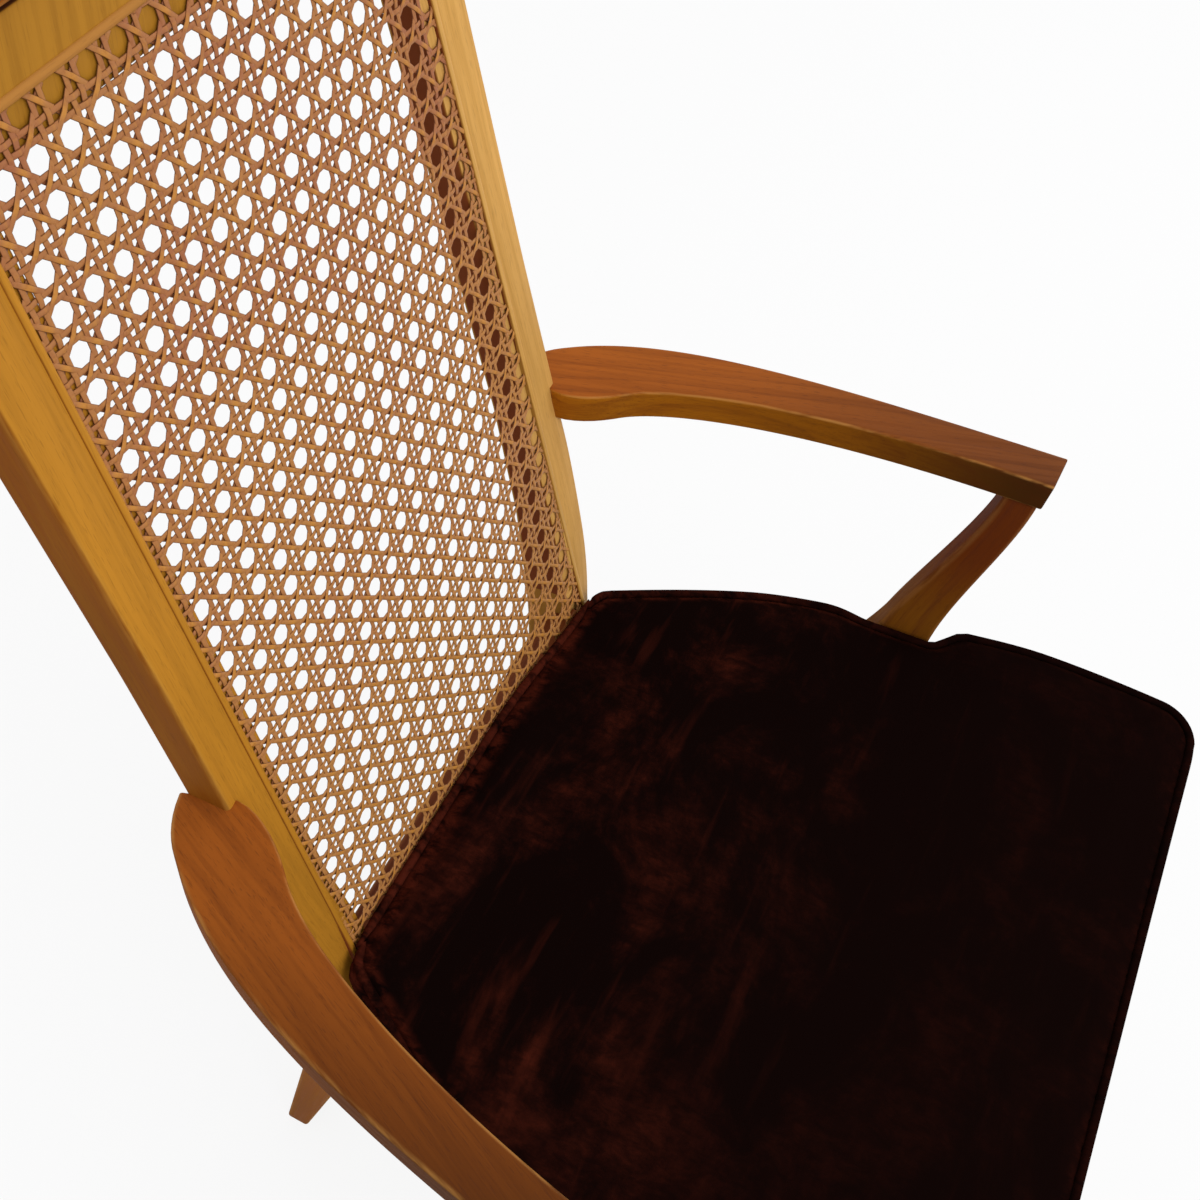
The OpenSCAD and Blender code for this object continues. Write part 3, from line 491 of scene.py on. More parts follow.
def postCorners(s):
    if s <= postStraight:
        t = backLength - s
        front = Vector((sinRake * t, cosRake * t))
        back = front + interpolate(t, postDepths) * Vector((cosRake, -sinRake))
    elif s <= postStraight + postArc:
        turn = -math.radians(chair["rake"]) + (s - postStraight) / bendRadius
        spoke = Vector((math.cos(turn), math.sin(turn)))
        front = postCentre - bendRadius * spoke
        back = postCentre - (bendRadius - backPost["seatDepth"]) * spoke
    else:
        share = min((s - postStraight - postArc) / postLeg, 1)
        bendBack = postBendEnd + backPost["seatDepth"] * Vector((cosSplay, sinSplay))
        front = postBendEnd.lerp(postFoot, share)
        back = bendBack.lerp(postFoot + Vector((backPost["footDepth"], 0)), share)
    return [onSeat(interpolate(p.y, edge), p.x, p.y)
            for p, edge in ((front, postInner), (front, postOuter), (back, postOuter), (back, postInner))]


recessStart = backLength - chair["caneTop"]
recessEnd = backLength - 12


# The post's inner side has a ledge for the cane's groove. The ledge's wall and the inner face are painted
# dark as shade
def postShapes(k, s):
    if k in (1, 2) or not recessStart < s < recessEnd:
        return None
    if k == 3:
        shape = roundCorner(backPost["backEdge"], 0)
        return shape[:-2] + [(p, q, -1) for p, q, edge in shape[-2:]]
    wide, deep = backPost["ledgeWidth"], backPost["ledgeDepth"]
    return [(0, deep + 5, -1), (0, deep + 1.4, -1), (0.4, deep + 0.4, -0.4), (1.4, deep, 0),
            (wide - 0.1, deep, 0), (wide, deep - 0.1, 0), (wide, 0.5, 0), (wide + 0.5, 0, 0.2)]


postEdges = [backPost[key] for key in ("innerEdge", "frontEdge", "backEdge", "backEdge")]
bothSides("back_post", postCorners, postLength, postEdges, "goldenWood", "frame_wood", "goldenWoodPaintedLit",
          count=110, endRound=(1.5, 2.0), shapes=postShapes,
          extra=(recessStart - 0.02, recessStart + 0.02, recessEnd - 0.02, recessEnd + 0.02))
print("back posts made")

# Rails of the back and the crest cap
backRails = {"topHeight": 49.5, "lowHeight": 30, "lowTop": -8, "thickness": 23, "reveal": 3,
             "revealDepth": 6, "capHeight": 25.6, "capEndHeight": 15, "capLip": 5}
topRailBottom = backLength - backRails["topHeight"]
crestWide = outTop + backRails["capLip"]


def backRailCorners(t0, t1):
    def at(s):
        share, depth = s / (2 * openTop) * 2 - 1, backRails["thickness"]
        return [onBack(share * openHalf(t), d, t) for d, t in ((0, t0), (depth, t0), (depth, t1), (0, t1))]
    return at


# The top rail has the cane's ledge below, with painted shade on its underside behind it, and a reveal under
# the crest cap painted dark as the cap's shadow
def topRailShapes(k, s):
    ledge = chair["caneTop"] - topRailBottom
    deep, groove, high = backPost["ledgeDepth"], backRails["revealDepth"], backRails["reveal"]
    if k == 0:
        return [(0, ledge + 3, 0), (0, ledge + 0.3, 0), (0.4, ledge, 0), (deep - 0.2, ledge, 0),
                (deep, ledge - 0.4, 0), (deep, 1.6, 0), (deep + 0.6, 0.4, 0.4), (deep + 2.4, 0, -1)]
    if k == 3:
        return [(0, groove + 3, -1), (0, groove + 0.6, -1), (0.3, groove, -1), (high - 0.4, groove, -1),
                (high, groove - 0.5, -1), (high, 0.8, -0.8), (high + 0.7, 0, 0.2), (high + 3, 0, 0)]
    return None


def crestCorners(s):
    x = s - crestWide
    front, back = -backRails["capLip"], backPost["topDepth"] + backRails["capLip"]
    top = backLength + lerp(backRails["capHeight"], backRails["capEndHeight"], (x / crestWide) ** 2)
    return [onBack(x, d, t)
            for d, t in ((front, backLength), (back, backLength), (back, top), (front, top))]


addBar("top_rail", backRailCorners(topRailBottom, backLength), 2 * openTop, (2, 3, 2, 2), "topRailWood",
       "frame_wood", count=8, endRound=(0.1, 0.1), shapes=topRailShapes, board=Vector((0.3, 0.28, 0.9)))
addBar("lower_back_rail", backRailCorners(backRails["lowTop"] - backRails["lowHeight"], backRails["lowTop"]),
       2 * openTop, (2, 3, 3, 2), "postWood", "rail_wood", count=8, endRound=(0.1, 0.1))
addBar("crest_cap", crestCorners, 2 * crestWide, (2, 2.5, 5, 9), "armWood", "arm_wood", endRound=(5, 5))

# Splines that hold the cane in its groove
spline = {"width": 5, "proud": 0.8, "depth": 5.8, "topWidth": 4.6, "topProud": 1.2}
# The bead's rounded edge, with a painted shadow line on the wood beside it
beadEdgeShadowed = [(0, 3.0, -1), (0, 1.5, -1), (0.3, 0.8, -0.3), (0.9, 0.25, 0.2), (1.9, 0, 0.4)]
beadTurnedShadowed = [(q, p, edge) for p, q, edge in reversed(beadEdgeShadowed)]
beadUnshadowed = [(p, q, max(edge, 0)) for p, q, edge in beadEdgeShadowed]  # without the dark line beside it


def sideBead(k, s):
    return (beadEdgeShadowed, beadTurnedShadowed, None, None)[k]


def endBead(k, s):
    return (beadTurnedShadowed, None, None, beadUnshadowed)[k]


def sideSpline(s):
    t = chair["caneBottom"] + s
    half = spline["width"] / 2
    middle = openHalf(t) + backPost["ledgeWidth"] + half
    front, back = -spline["proud"], spline["depth"]
    return [onBack(middle + x, d, t)
            for x, d in ((-half, front), (half, front), (half, back), (-half, back))]


def endSpline(t, width, proud):
    reach = openHalf(t) + backPost["ledgeWidth"] + spline["width"]
    back, half = spline["depth"], width / 2

    def at(s):
        return [onBack(s - reach, d, t + h)
                for d, h in ((-proud, -half), (back, -half), (back, half), (-proud, half))]
    return at, 2 * reach


bothSides("cane_spline", sideSpline, chair["caneTop"] - chair["caneBottom"] - 2, (1.6, 1.6, 0.6, 0.6),
          "goldenWood", "spline", "goldenWoodPaintedLit", count=24, endRound=(0.1, 0.1), shapes=sideBead)
for name, t, width, proud in (("top", chair["caneTop"], spline["topWidth"], spline["topProud"]),
                              ("bottom", chair["caneBottom"], spline["width"], spline["proud"])):
    addBar(f"cane_spline_{name}", *endSpline(t, width, proud), (2.4, 0.6, 0.6, 2.4), "beadWood", "spline",
           count=16, endRound=(0.1, 0.1), shapes=endBead)
print("back rails and splines made")

# Arms: two plan curves from the front end to the post
arm = {"jointX": 190, "radius": 2.4, "endRound": 1.2, "leftBack": 4.5, "leftUp": 2.0, "leftTwist": 9.0}
armJoint = Vector((arm["jointX"], (armTop - chair["armThickness"] / 2) * sinRake / cosRake))
armOut, armIn = chair["armFrontX"], chair["armFrontX"] - chair["armFrontWidth"]
armFrontY = -chair["armReach"]


# Points of a plan curve, in millimetres from the middle of the joint
def atJoint(*places):
    return [armJoint + Vector(p) for p in places]


armOuter = bezier([(armOut, armFrontY), (armOut - 28, armFrontY + 188), *atJoint((87, -44), (32, 15))], 40)
armOuter += bezier(atJoint((32, 15), (21, 28), (1, 33)), 12)
armInner = bezier([(armIn, armFrontY + 2), (armIn - 19, armFrontY + 170),
                   *atJoint((42, -68), (14, -41))], 40)
armInner += bezier(atJoint((14, -41), (-1, -26), (-9, -10), (-8, 1)), 12)


# Corners of a bar between two plan curves, and its length along their middle
def betweenCurves(inner, outer, z0, z1):
    middles = [(a + b) / 2 for a, b in zip(inner, outer)]
    marks = [0.0]
    for a, b in zip(middles, middles[1:]):
        marks.append(marks[-1] + (b - a).length)

    def at(s):
        place = interpolate(min(max(s, 0), marks[-1]), [(m, i) for i, m in enumerate(marks)])
        i = min(int(place), len(inner) - 2)
        a, b = (line[i].lerp(line[i + 1], place - i) for line in (inner, outer))
        return [onSeat(p.x, p.y, z) for p, z in ((a, z0), (b, z0), (b, z1), (a, z1))]
    return at, marks[-1]


armAt, armLength = betweenCurves(armInner, armOuter, armBottom, armTop)
armRadii = (arm["radius"] * 0.8, arm["radius"], arm["radius"], arm["radius"] * 0.8)


# The left arm meets its post a little further back and higher than the right one. It moves over its
# rear half and twists over its last quarter, where its inner edge rises most
def askewArm(cornersAt):
    def at(s):
        share = smooth(2 * s / armLength - 1)
        twist = arm["leftTwist"] * smooth(4 * s / armLength - 3)
        return [p + Vector((0, arm["leftBack"] * share, arm["leftUp"] * share + twist * raised))
                for p, raised in zip(cornersAt(s), (1, 0.4, 0.4, 1))]
    return at


bothSides("arm", armAt, armLength, armRadii, "armWood", "arm_wood", count=70,
          endRound=(arm["endRound"], 0.3), board=Vector((-0.42, 1, 0)), askew=askewArm)

# The seat's side: a curve from the rear corner to the front one. Pulls are shares of its run
seatSide = {"startY": -14, "firstPull": (0.5, 0.239), "secondPull": (0.752, 0.498)}
sideFrom = Vector((chair["rearWidth"] / 2, seatSide["startY"]))
sideTo = Vector((chair["frontWidth"] / 2, -chair["seatDepth"] + chair["cornerRadius"] - 2))
sideRun = sideTo - sideFrom
sideA, sideB = (sideFrom + Vector((sideRun.x * pull[0] + bow, sideRun.y * pull[1]))
                for pull, bow in ((seatSide["firstPull"], 0), (seatSide["secondPull"], chair["bow"])))
sideCurve, fineSide = (bezier([sideFrom, sideA, sideB, sideTo], count) for count in (80, 1000))

# Arm posts: turned to follow the seat's side, leaning out and forward to the arm
armPost = {"width": 24, "topDepth": 25, "footDepth": 40, "riseForward": 30, "turn": 7, "lap": 24,
           "forward": 238, "heel": 16, "frontEdge": 3.5, "backEdge": 4.5}
postInX = interpolate(-armPost["forward"], [(p.y, p.x) for p in sideCurve]) - armPost["lap"]
postTurn = math.radians(armPost["turn"])
leanReach = armIn + 0.5 - postInX - armPost["riseForward"] * math.sin(postTurn)
postLean = leanReach / math.cos(postTurn)
footHalf = armPost["footDepth"] / 2
backTop = -armPost["riseForward"] + armPost["topDepth"] / 2
frontTop = -armPost["riseForward"] - armPost["topDepth"] / 2
armPostBack = byHeight([
    *bezier([(backTop, armBottom), (backTop, armBottom * 0.73), (footHalf - 11, armBottom * 0.32),
             (footHalf, 0)], 20),
    *bezier([(footHalf, 0), (footHalf + armPost["heel"] * 0.3, railTop * 0.42),
             (footHalf + armPost["heel"], railTop)], 8)])
armPostFront = byHeight(bezier([(frontTop, armBottom), (frontTop, armBottom * 0.71),
                                (-footHalf - 2, armBottom * 0.32), (-footHalf, 0)], 20))


def armPostCorners(s):
    z = railFoot + s
    near = max(z, 0) / armBottom * postLean
    far = near + armPost["width"]
    front, back = interpolate(z, armPostFront), interpolate(z, armPostBack)
    return [onSeat(postInX + x * math.cos(postTurn) - y * math.sin(postTurn),
                   -armPost["forward"] + x * math.sin(postTurn) + y * math.cos(postTurn), z)
            for x, y in ((near, front), (far, front), (far, back), (near, back))]


armPostEdges = [armPost[key] for key in ("frontEdge", "frontEdge", "backEdge", "backEdge")]
bothSides("arm_post", armPostCorners, armBottom - railFoot, armPostEdges, "postWood", "frame_wood",
          count=48, endRound=(1.0, 0.2))
print("arms and arm posts made")

# Front legs and seat rails
leg = {"topWidth": 42, "footWidth": 24, "outerRadius": 10, "edge": 3.0}
railsOut = chair["frontWidth"] / 2 - chair["railInset"]
railsFront = -chair["seatDepth"] + chair["railInset"]


def legCorners(s):
    z = footZ + s
    wide = interpolate(z, [(footZ, leg["footWidth"]), (railFoot, leg["topWidth"])])
    inner, rear = railsOut - wide, railsFront + wide
    return [onSeat(x, y, z)
            for x, y in ((inner, railsFront), (railsOut, railsFront), (railsOut, rear), (inner, rear))]


legEdges = [leg[key] for key in ("edge", "outerRadius", "edge", "edge")]
bothSides("front_leg", legCorners, railTop - footZ, legEdges, "railWood", "frame_wood", count=24,
          endRound=(2.0, 0.5), extra=(railFoot - footZ,))

seatRail = {"thickness": 26, "sideThickness": 24, "edge": 2.5, "backY": -7, "intoPost": 12}
railEdges, railEnds = (seatRail["edge"],) * 4, (0.2, 0.2)


def straightRail(halfLength, y):
    rear = y + seatRail["thickness"]

    def at(s):
        return [onSeat(s - halfLength, across, z)
                for across, z in ((y, railFoot), (rear, railFoot), (rear, railTop), (y, railTop))]
    return at, 2 * halfLength


for name, halfLength, y in (("front", railsOut - leg["topWidth"], railsFront),
                            ("back", openFoot, seatRail["backY"])):
    addBar(f"seat_rail_{name}", *straightRail(halfLength, y), railEdges, "railWood", "rail_wood", count=12,
           endRound=railEnds)


# A curve moved sideways toward the seat's middle
def inward(points, d):
    out = []
    for i, p in enumerate(points):
        step = (points[min(i + 1, len(points) - 1)] - points[max(i - 1, 0)]).normalized()
        out.append(p + d * Vector((step.y, -step.x)))
    return out


bowed = [p for p in sideCurve if railsFront + leg["topWidth"] < p.y < -12]
bowed.insert(0, bowed[0] + (bowed[0] - bowed[3]).normalized() * seatRail["intoPost"])
outerRail, innerRail = (inward(bowed, chair["railInset"] + d) for d in (0, seatRail["sideThickness"]))
bothSides("seat_rail", *betweenCurves(innerRail, outerRail, railFoot, railTop), railEdges, "railWood",
          "rail_wood", count=40, endRound=railEnds)
print("legs and seat rails made")

# Cane: strands woven on a square lattice that lies slightly askew in the frame. Spacings and marks are
# shares of the pitch, and lifts are shares of the thickness
cane = {"pitch": 19.05, "turn": 0.0357, "shiftX": -3.578, "rowZero": 12, "rise": 16.3,
        "uprightSpacing": 0.143, "levelSpacing": 0.14, "uprightWidth": 3.15, "levelWidth": 2.85,
        "slantWidth": 2.8, "thickness": 0.85, "pairLift": 0.6, "slantLift": 1.05, "wander": 0.22,
        "sides": 8, "tuck": 3.0, "bowCentre": 270, "bowHalfWidth": 150, "bowHalfHeight": 290,
        "uprightMarks": (0.0, 0.23, 0.365, 0.5, 0.635, 0.77),
        "levelMarks": (0.0, 0.23, 0.3625, 0.5, 0.6375, 0.77)}


# The sheet was pulled in by hand and bows a little: it leans to the right toward its top
def latticePoint(a, b, height):
    across = math.cos(cane["turn"]) * a - math.sin(cane["turn"]) * (b - cane["rowZero"]) + cane["shiftX"]
    down = math.sin(cane["turn"]) * a + math.cos(cane["turn"]) * (b - cane["rowZero"])
    x, t = across * cane["pitch"], (cane["rise"] - down) * cane["pitch"]
    u, v = x / cane["bowHalfWidth"], (t - cane["bowCentre"]) / cane["bowHalfHeight"]
    x += -0.31 - 0.64 * u - 0.99 * v - 1.02 * u * u + 2.51 * u * v + 6.2 * v * v
    t += -1.21 + 0.36 * u + 0.77 * v + 0.42 * u * u + 0.56 * u * v - 1.22 * v * v
    return Vector((x, t, height))


def insideCane(p):
    return chair["caneBottom"] + 2 < p.y < chair["caneTop"] - 2 and abs(p.x) < openHalf(p.y) + 9.2


# Keeps the part of a strand inside the frame and turns its ends down into the groove
def tucked(path):
    kept = [i for i, p in enumerate(path) if insideCane(p)]
    if len(kept) < 3:
        return []
    out = [path[i] for i in range(kept[0], kept[-1] + 1)]
    for inner, outer, first in ((kept[0], kept[0] - 1, True), (kept[-1], kept[-1] + 1, False)):
        if not 0 <= outer < len(path):
            continue
        a, b = path[inner].copy(), path[outer].copy()
        for halving in range(8):
            middle = (a + b) / 2
            a, b = (middle, b) if insideCane(middle) else (a, middle)
        step = (path[outer] - path[inner]).normalized()
        down = Vector((step.x * 1.2, step.y * 1.2, -cane["tuck"]))
        ends = [a + down] if (a - path[inner]).length < 0.6 else [a, a + down]
        out = ends[::-1] + out if first else out + ends
    return out


# A strand goes over one strand of a crossing pair and under the other, and lies flat between pairs
def weaveWave(offset):
    share = (offset + 0.5) % 1 - 0.5
    return math.sin(2 * math.pi * share / 0.54) if abs(share) < 0.27 else 0.0


# Strands run in pairs up and across, and single ones on both slants
def caneStrands():
    pairLift, slantLift = cane["pairLift"] * cane["thickness"], cane["slantLift"] * cane["thickness"]
    columns, rows = range(-10, 17), range(-8, 32)
    upMarks = [row + part for row in rows for part in cane["uprightMarks"]]
    crossMarks = [column + part for column in columns for part in cane["levelMarks"]]
    families = {"upright": [], "level": [], "slant_right": [], "slant_left": []}
    for column in columns:
        for sign in (-1, 1):
            a = column + 0.5 + sign * cane["uprightSpacing"]
            path = [latticePoint(a, b, -pairLift * sign * weaveWave(b - 0.5)) for b in upMarks]
            families["upright"].append(tucked(path))
    for row in rows:
        for sign in (-1, 1):
            b = row + 0.5 + sign * cane["levelSpacing"]
            path = [latticePoint(a, b, pairLift * sign * weaveWave(a - 0.5)) for a in crossMarks]
            families["level"].append(tucked(path))
    for line in range(-45, 45):
        right, left = [], []
        for a in (k / 4 for k in range(-40, 160)):
            lift = slantLift * math.cos(2 * math.pi * a)
            right.append(latticePoint(a - 10, a - line - 0.5 - 10, -lift))
            left.append(latticePoint(a - 10, line + 0.5 - a + 10, lift))
        families["slant_right"].append(tucked(right))
        families["slant_left"].append(tucked(left))
    return families


def strandTree():
    tree = bpy.data.node_groups.new("caneStrand", "GeometryNodeTree")
    tree.interface.new_socket("Geometry", in_out="OUTPUT", socket_type="NodeSocketGeometry")
    for name, kind in (("Geometry", "Geometry"), ("Width", "Float"), ("Thickness", "Float"),
                       ("Sides", "Int"), ("Finish", "Material")):
        tree.interface.new_socket(name, in_out="INPUT", socket_type=f"NodeSocket{kind}")
    given = tree.nodes.new("NodeGroupInput").outputs
    out = tree.nodes.new("NodeGroupOutput").inputs

    def step(kind, inputs, **settings):
        return makeNode(tree, f"GeometryNode{kind}", inputs, **settings).outputs[0]

    half = [times(tree, given[key], 0.5) for key in ("Width", "Thickness")]
    size = makeNode(tree, "ShaderNodeCombineXYZ", {0: half[0], 1: half[1], 2: 1.0}).outputs[0]
    circle = step("CurvePrimitiveCircle", {"Resolution": given["Sides"], "Radius": 1.0})
    profile = step("Transform", {"Geometry": circle, "Scale": size})
    curve = step("MeshToCurve", {"Mesh": given["Geometry"]})
    curve = step("SetCurveNormal", {"Curve": curve}, mode="Z_UP")
    swept = step("CurveToMesh", {"Curve": curve, "Profile Curve": profile, "Fill Caps": True})
    real = step("RealizeInstances", {"Geometry": step("SetShadeSmooth", {"Geometry": swept})})
    tree.links.new(step("SetMaterial", {"Geometry": real, "Material": given["Finish"]}), out[0])
    return tree


def evaluatedMesh(thing):
    return bpy.data.meshes.new_from_object(thing.evaluated_get(bpy.context.evaluated_depsgraph_get()))


def runTree(name, mesh, tree, values):
    holder = addObject(f"{name}_path", mesh)
    modifier = holder.modifiers.new("nodes", "NODES")
    modifier.node_group = tree
    for item in tree.interface.items_tree:
        if item.in_out == "INPUT" and item.name in values:
            modifier[item.identifier] = values[item.name]
    bpy.context.view_layer.update()
    result = evaluatedMesh(holder)
    result.name = name
    bpy.data.objects.remove(holder)
    return result


def pathMesh(name, paths, closed=False):
    mesh = bpy.data.meshes.new(name)
    points, edges, seeds, heights = [], [], [], []
    for path in paths:
        first, seed = len(points), dice.random()
        for p in path:
            points.append(p * mm)
            seeds.append(seed)
            heights.append(p.z)
        edges += [(first + i, first + i + 1) for i in range(len(path) - 1)]
        if closed:
            edges.append((len(points) - 1, first))
    mesh.from_pydata(points, edges, [])
    addAttribute(mesh, "strand", seeds)
    addAttribute(mesh, "height", heights)
    return mesh


def caneMaterial():
    material, tree, shader = newMaterial("woven_cane", **{"Specular IOR Level": 0.2})
    where, height = objectPlace(tree), attribute(tree, "height")
    patches, fibres = noiseNode(tree, where, 9.0, 3.0, 0.6), noiseNode(tree, where, 420.0, 2.0, 0.6)
    flat = makeNode(tree, "ShaderNodeVectorMath", {0: surfaceNormal(tree), 1: (0, -cosRake, sinRake)},
                    operation="DOT_PRODUCT").outputs["Value"]
    flat = mathNode(tree, "ABSOLUTE", flat)
    color = mixColor(tree, remap(tree, patches, 0.35, 0.65), tone("9e6040"), tone("a86f40"))
    # Painted light and shade on the strands: a highlight where a strand lies on top, shade where it dives
    # under and on its flanks, and paler toward the seat as if more brightly lit
    for code, value, *span in (
            ("c48c50", axes(tree, where)[2], 0.95, 0.5, 0.0, 0.6),  # paler toward the seat
            ("b87e3c", attribute(tree, "strand"), 0.0, 1.0, 0.0, 0.45, "LINEAR"),  # each strand its own
            ("c68634", height, 0.25, 0.85, 0.0, 0.7),  # bright where it lies on top
            ("6a3420", height, -0.2, -0.85, 0.0, 0.7),  # dark where it dives under
            ("85451c", fibres, 0.45, 0.75, 0.0, 0.3),
            ("5a2c18", flat, 0.92, 0.25, 0.0, 0.7)):  # dark flanks
        color = tinted(tree, color, code, value, *span)
    tree.links.new(color, shader.inputs["Base Color"])
    tree.links.new(remap(tree, fibres, 0.3, 0.7, 0.38, 0.55, "LINEAR"), shader.inputs["Roughness"])
    return material


# A strand drifts a little from its straight line
def wandering(p):
    drift = Vector((noise.noise(p / 31), noise.noise(p / 29 + Vector((9, 9, 9))), 0))
    return p + drift * cane["wander"] * 2


caneLook = caneMaterial()
strand = strandTree()
backTurn = Matrix.Translation(onSeat(0, 0, 0) * mm) @ Matrix.Rotation(
    math.radians(90 - chair["rake"]), 4, "X") @ Matrix.Translation((0, 0, -0.9 * mm))
for family, paths in caneStrands().items():
    paths = [[wandering(p) for p in path] for path in paths if len(path) > 2]
    width = cane["slantWidth" if family.startswith("slant") else f"{family}Width"]
    mesh = runTree(f"cane_{family}", pathMesh(family, paths), strand,
                   {"Width": width * mm, "Thickness": cane["thickness"] * mm, "Sides": cane["sides"],
                    "Finish": caneLook})
    mesh.transform(backTurn)
    addPiece(f"cane_{family}_strands", mesh, caneLook, "cane_panel")
    print("cane", family, len(paths), "strands,", len(mesh.polygons), "faces")

# Seat pad and its welt. lift and ease say how far the stuffing stands up at the cane and draws in
# beside the arm posts, and the soft values how gently the cover bends around a post
pad = {"weltDiameter": 6, "weltInset": 5.3, "gap": 1.5, "boardTop": -40, "boardInset": 23.5,
       "crownInset": 25.4, "crownEdge": 4.0, "lift": 16, "liftReach": 60, "ease": 5, "easeReach": 90,
       "softRear": 34, "softFront": 16, "voxel": 4.5, "pressure": 4.0, "frames": 20, "cap": 2.5,
       "pressed": 3.2, "crumple": 0.7, "rearReach": 30}
weltZ = -pad["weltDiameter"] / 2 - 1.2
weltIn = pad["weltDiameter"] / 2 + pad["weltInset"]


def postLine(y):
    return postInX - (y + armPost["forward"]) * math.tan(postTurn) - pad["gap"]


def bay(y, d, low):
    off = y + armPost["forward"]
    soft = pad["softRear" if off > 0 else "softFront"] + d
    heel = armPost["heel"] * (0.55 + 0.45 * min(1, max(0, -low / chair["padHeight"])))
    reach = footHalf + (heel if off > 0 else 0)
    return smooth((reach + soft - abs(off)) / soft)


# One half runs from the middle of the rear edge around the side to the middle of the front edge
def seatOutline():
    rearHalf, frontHalf = chair["rearWidth"] / 2, chair["frontWidth"] / 2
    deep, corner = chair["seatDepth"], chair["cornerRadius"]
    half = [Vector((rearHalf * (0.05 + 0.0925 * i), 0)) for i in range(10)]
    half += bezier([(rearHalf - 20, -2.5), (rearHalf - 9, -4), (rearHalf - 3, -10)], 5)
    half += [fineSide[round(lerp(5, 998, i / 70))] for i in range(71)]
    half += [Vector((frontHalf - corner * (1 - math.cos(math.radians(9 * i))),
                     -deep + corner - corner * math.sin(math.radians(9 * i)))) for i in range(1, 10)]
    half += [Vector(((frontHalf - corner) * (0.98 - 0.0653 * i), -deep)) for i in range(15)]
    return half + [Vector((-p.x, p.y)) for p in reversed(half)]


# The stuffing stands up against the cane, all but at its right end
def stuffed(p, z):
    rear = smooth((p.y + pad["liftReach"]) / pad["liftReach"]) * smooth((170 - p.x) / 150)
    return pad["lift"] * rear * smooth((z + 0.7 * chair["padHeight"]) / (0.5 * chair["padHeight"]))


# The pad draws in a little on both sides of the arm post
def drawnIn(y):
    off = y + armPost["forward"]
    beyond = abs(off) - footHalf - (armPost["heel"] if off > 0 else 0)
    return pad["ease"] * (1 - smooth(max(beyond, 0) / pad["easeReach"]))


# The outline moved in by d, at a height, kept clear of the arm posts and the raked cane
def padRing(d, flatZ, low=0):
    outline = seatOutline()
    out = []
    for i, p in enumerate(outline):
        step = (outline[(i + 1) % len(outline)] - outline[i - 1]).normalized()
        q = p + d * Vector((step.y, -step.x))
        z = flatZ + stuffed(q, flatZ)
        q.y += 0.5 * (z - flatZ)
        q.x -= math.copysign(drawnIn(q.y), q.x)
        over = max(0, abs(q.x) - postLine(q.y) + max(0, d - pad["weltInset"])) * bay(q.y, d, low)
        q.x -= math.copysign(over, q.x)
        q.y = min(q.y, z * sinRake / cosRake - pad["gap"])
        out.append(Vector((q.x, q.y, z)))
    return out


# From the board's edge up the side, under the welt and over the crown. Pairs are an inset and a
# height. The cloth swells it by a millimetre or two
def padMesh():
    tall, centre, crown = chair["padHeight"], -chair["seatDepth"] / 2, chair["padCrown"] - 1
    underEdge = railTop + 0.3

    def shrunk(k):
        ring = [Vector((p.x * k, centre + (p.y - centre) * k, lerp(pad["crownEdge"], crown, 1 - k ** 2.4)))
                for p in padRing(pad["crownInset"], 0)]
        return [p + Vector((0, 0, stuffed(p, p.z))) for p in ring]

    rings = [padRing(pad["boardInset"], pad["boardTop"]), padRing(pad["boardInset"], underEdge, -tall),
             padRing(6, underEdge, -tall)]
    rings += [padRing(d + 1.2, share * tall, share * tall) for d, share in (
        (2.2, -0.8), (1.2, -0.64), (0.6, -0.5), (0.1, -0.38), (0, -0.27))]
    rings += [padRing(d, z) for d, z in (
        (2.1, -9.2), (3.0, -7.4), (4.6, -6.6), (7, -7.4), (9.3, -8.2), (11.5, -5.8), (15.05, -1.2),
        (20, 1.9), (pad["crownInset"], pad["crownEdge"]))]
    rings += [shrunk(k) for k in (0.94, 0.87, 0.8, 0.7, 0.6, 0.5, 0.4, 0.3, 0.2, 0.1)]
    work = bmesh.new()
    loops = [[work.verts.new(onSeat(*p) * mm) for p in ring] for ring in rings]
    skin(work, loops, False)
    for loop, z in ((loops[0], pad["boardTop"]), (loops[-1], crown)):
        middle = work.verts.new(onSeat(0, centre, z) * mm)
        for i in range(len(loop)):
            work.faces.new((loop[i], loop[(i + 1) % len(loop)], middle))
    return meshFrom(work, "seat_pad_cover")


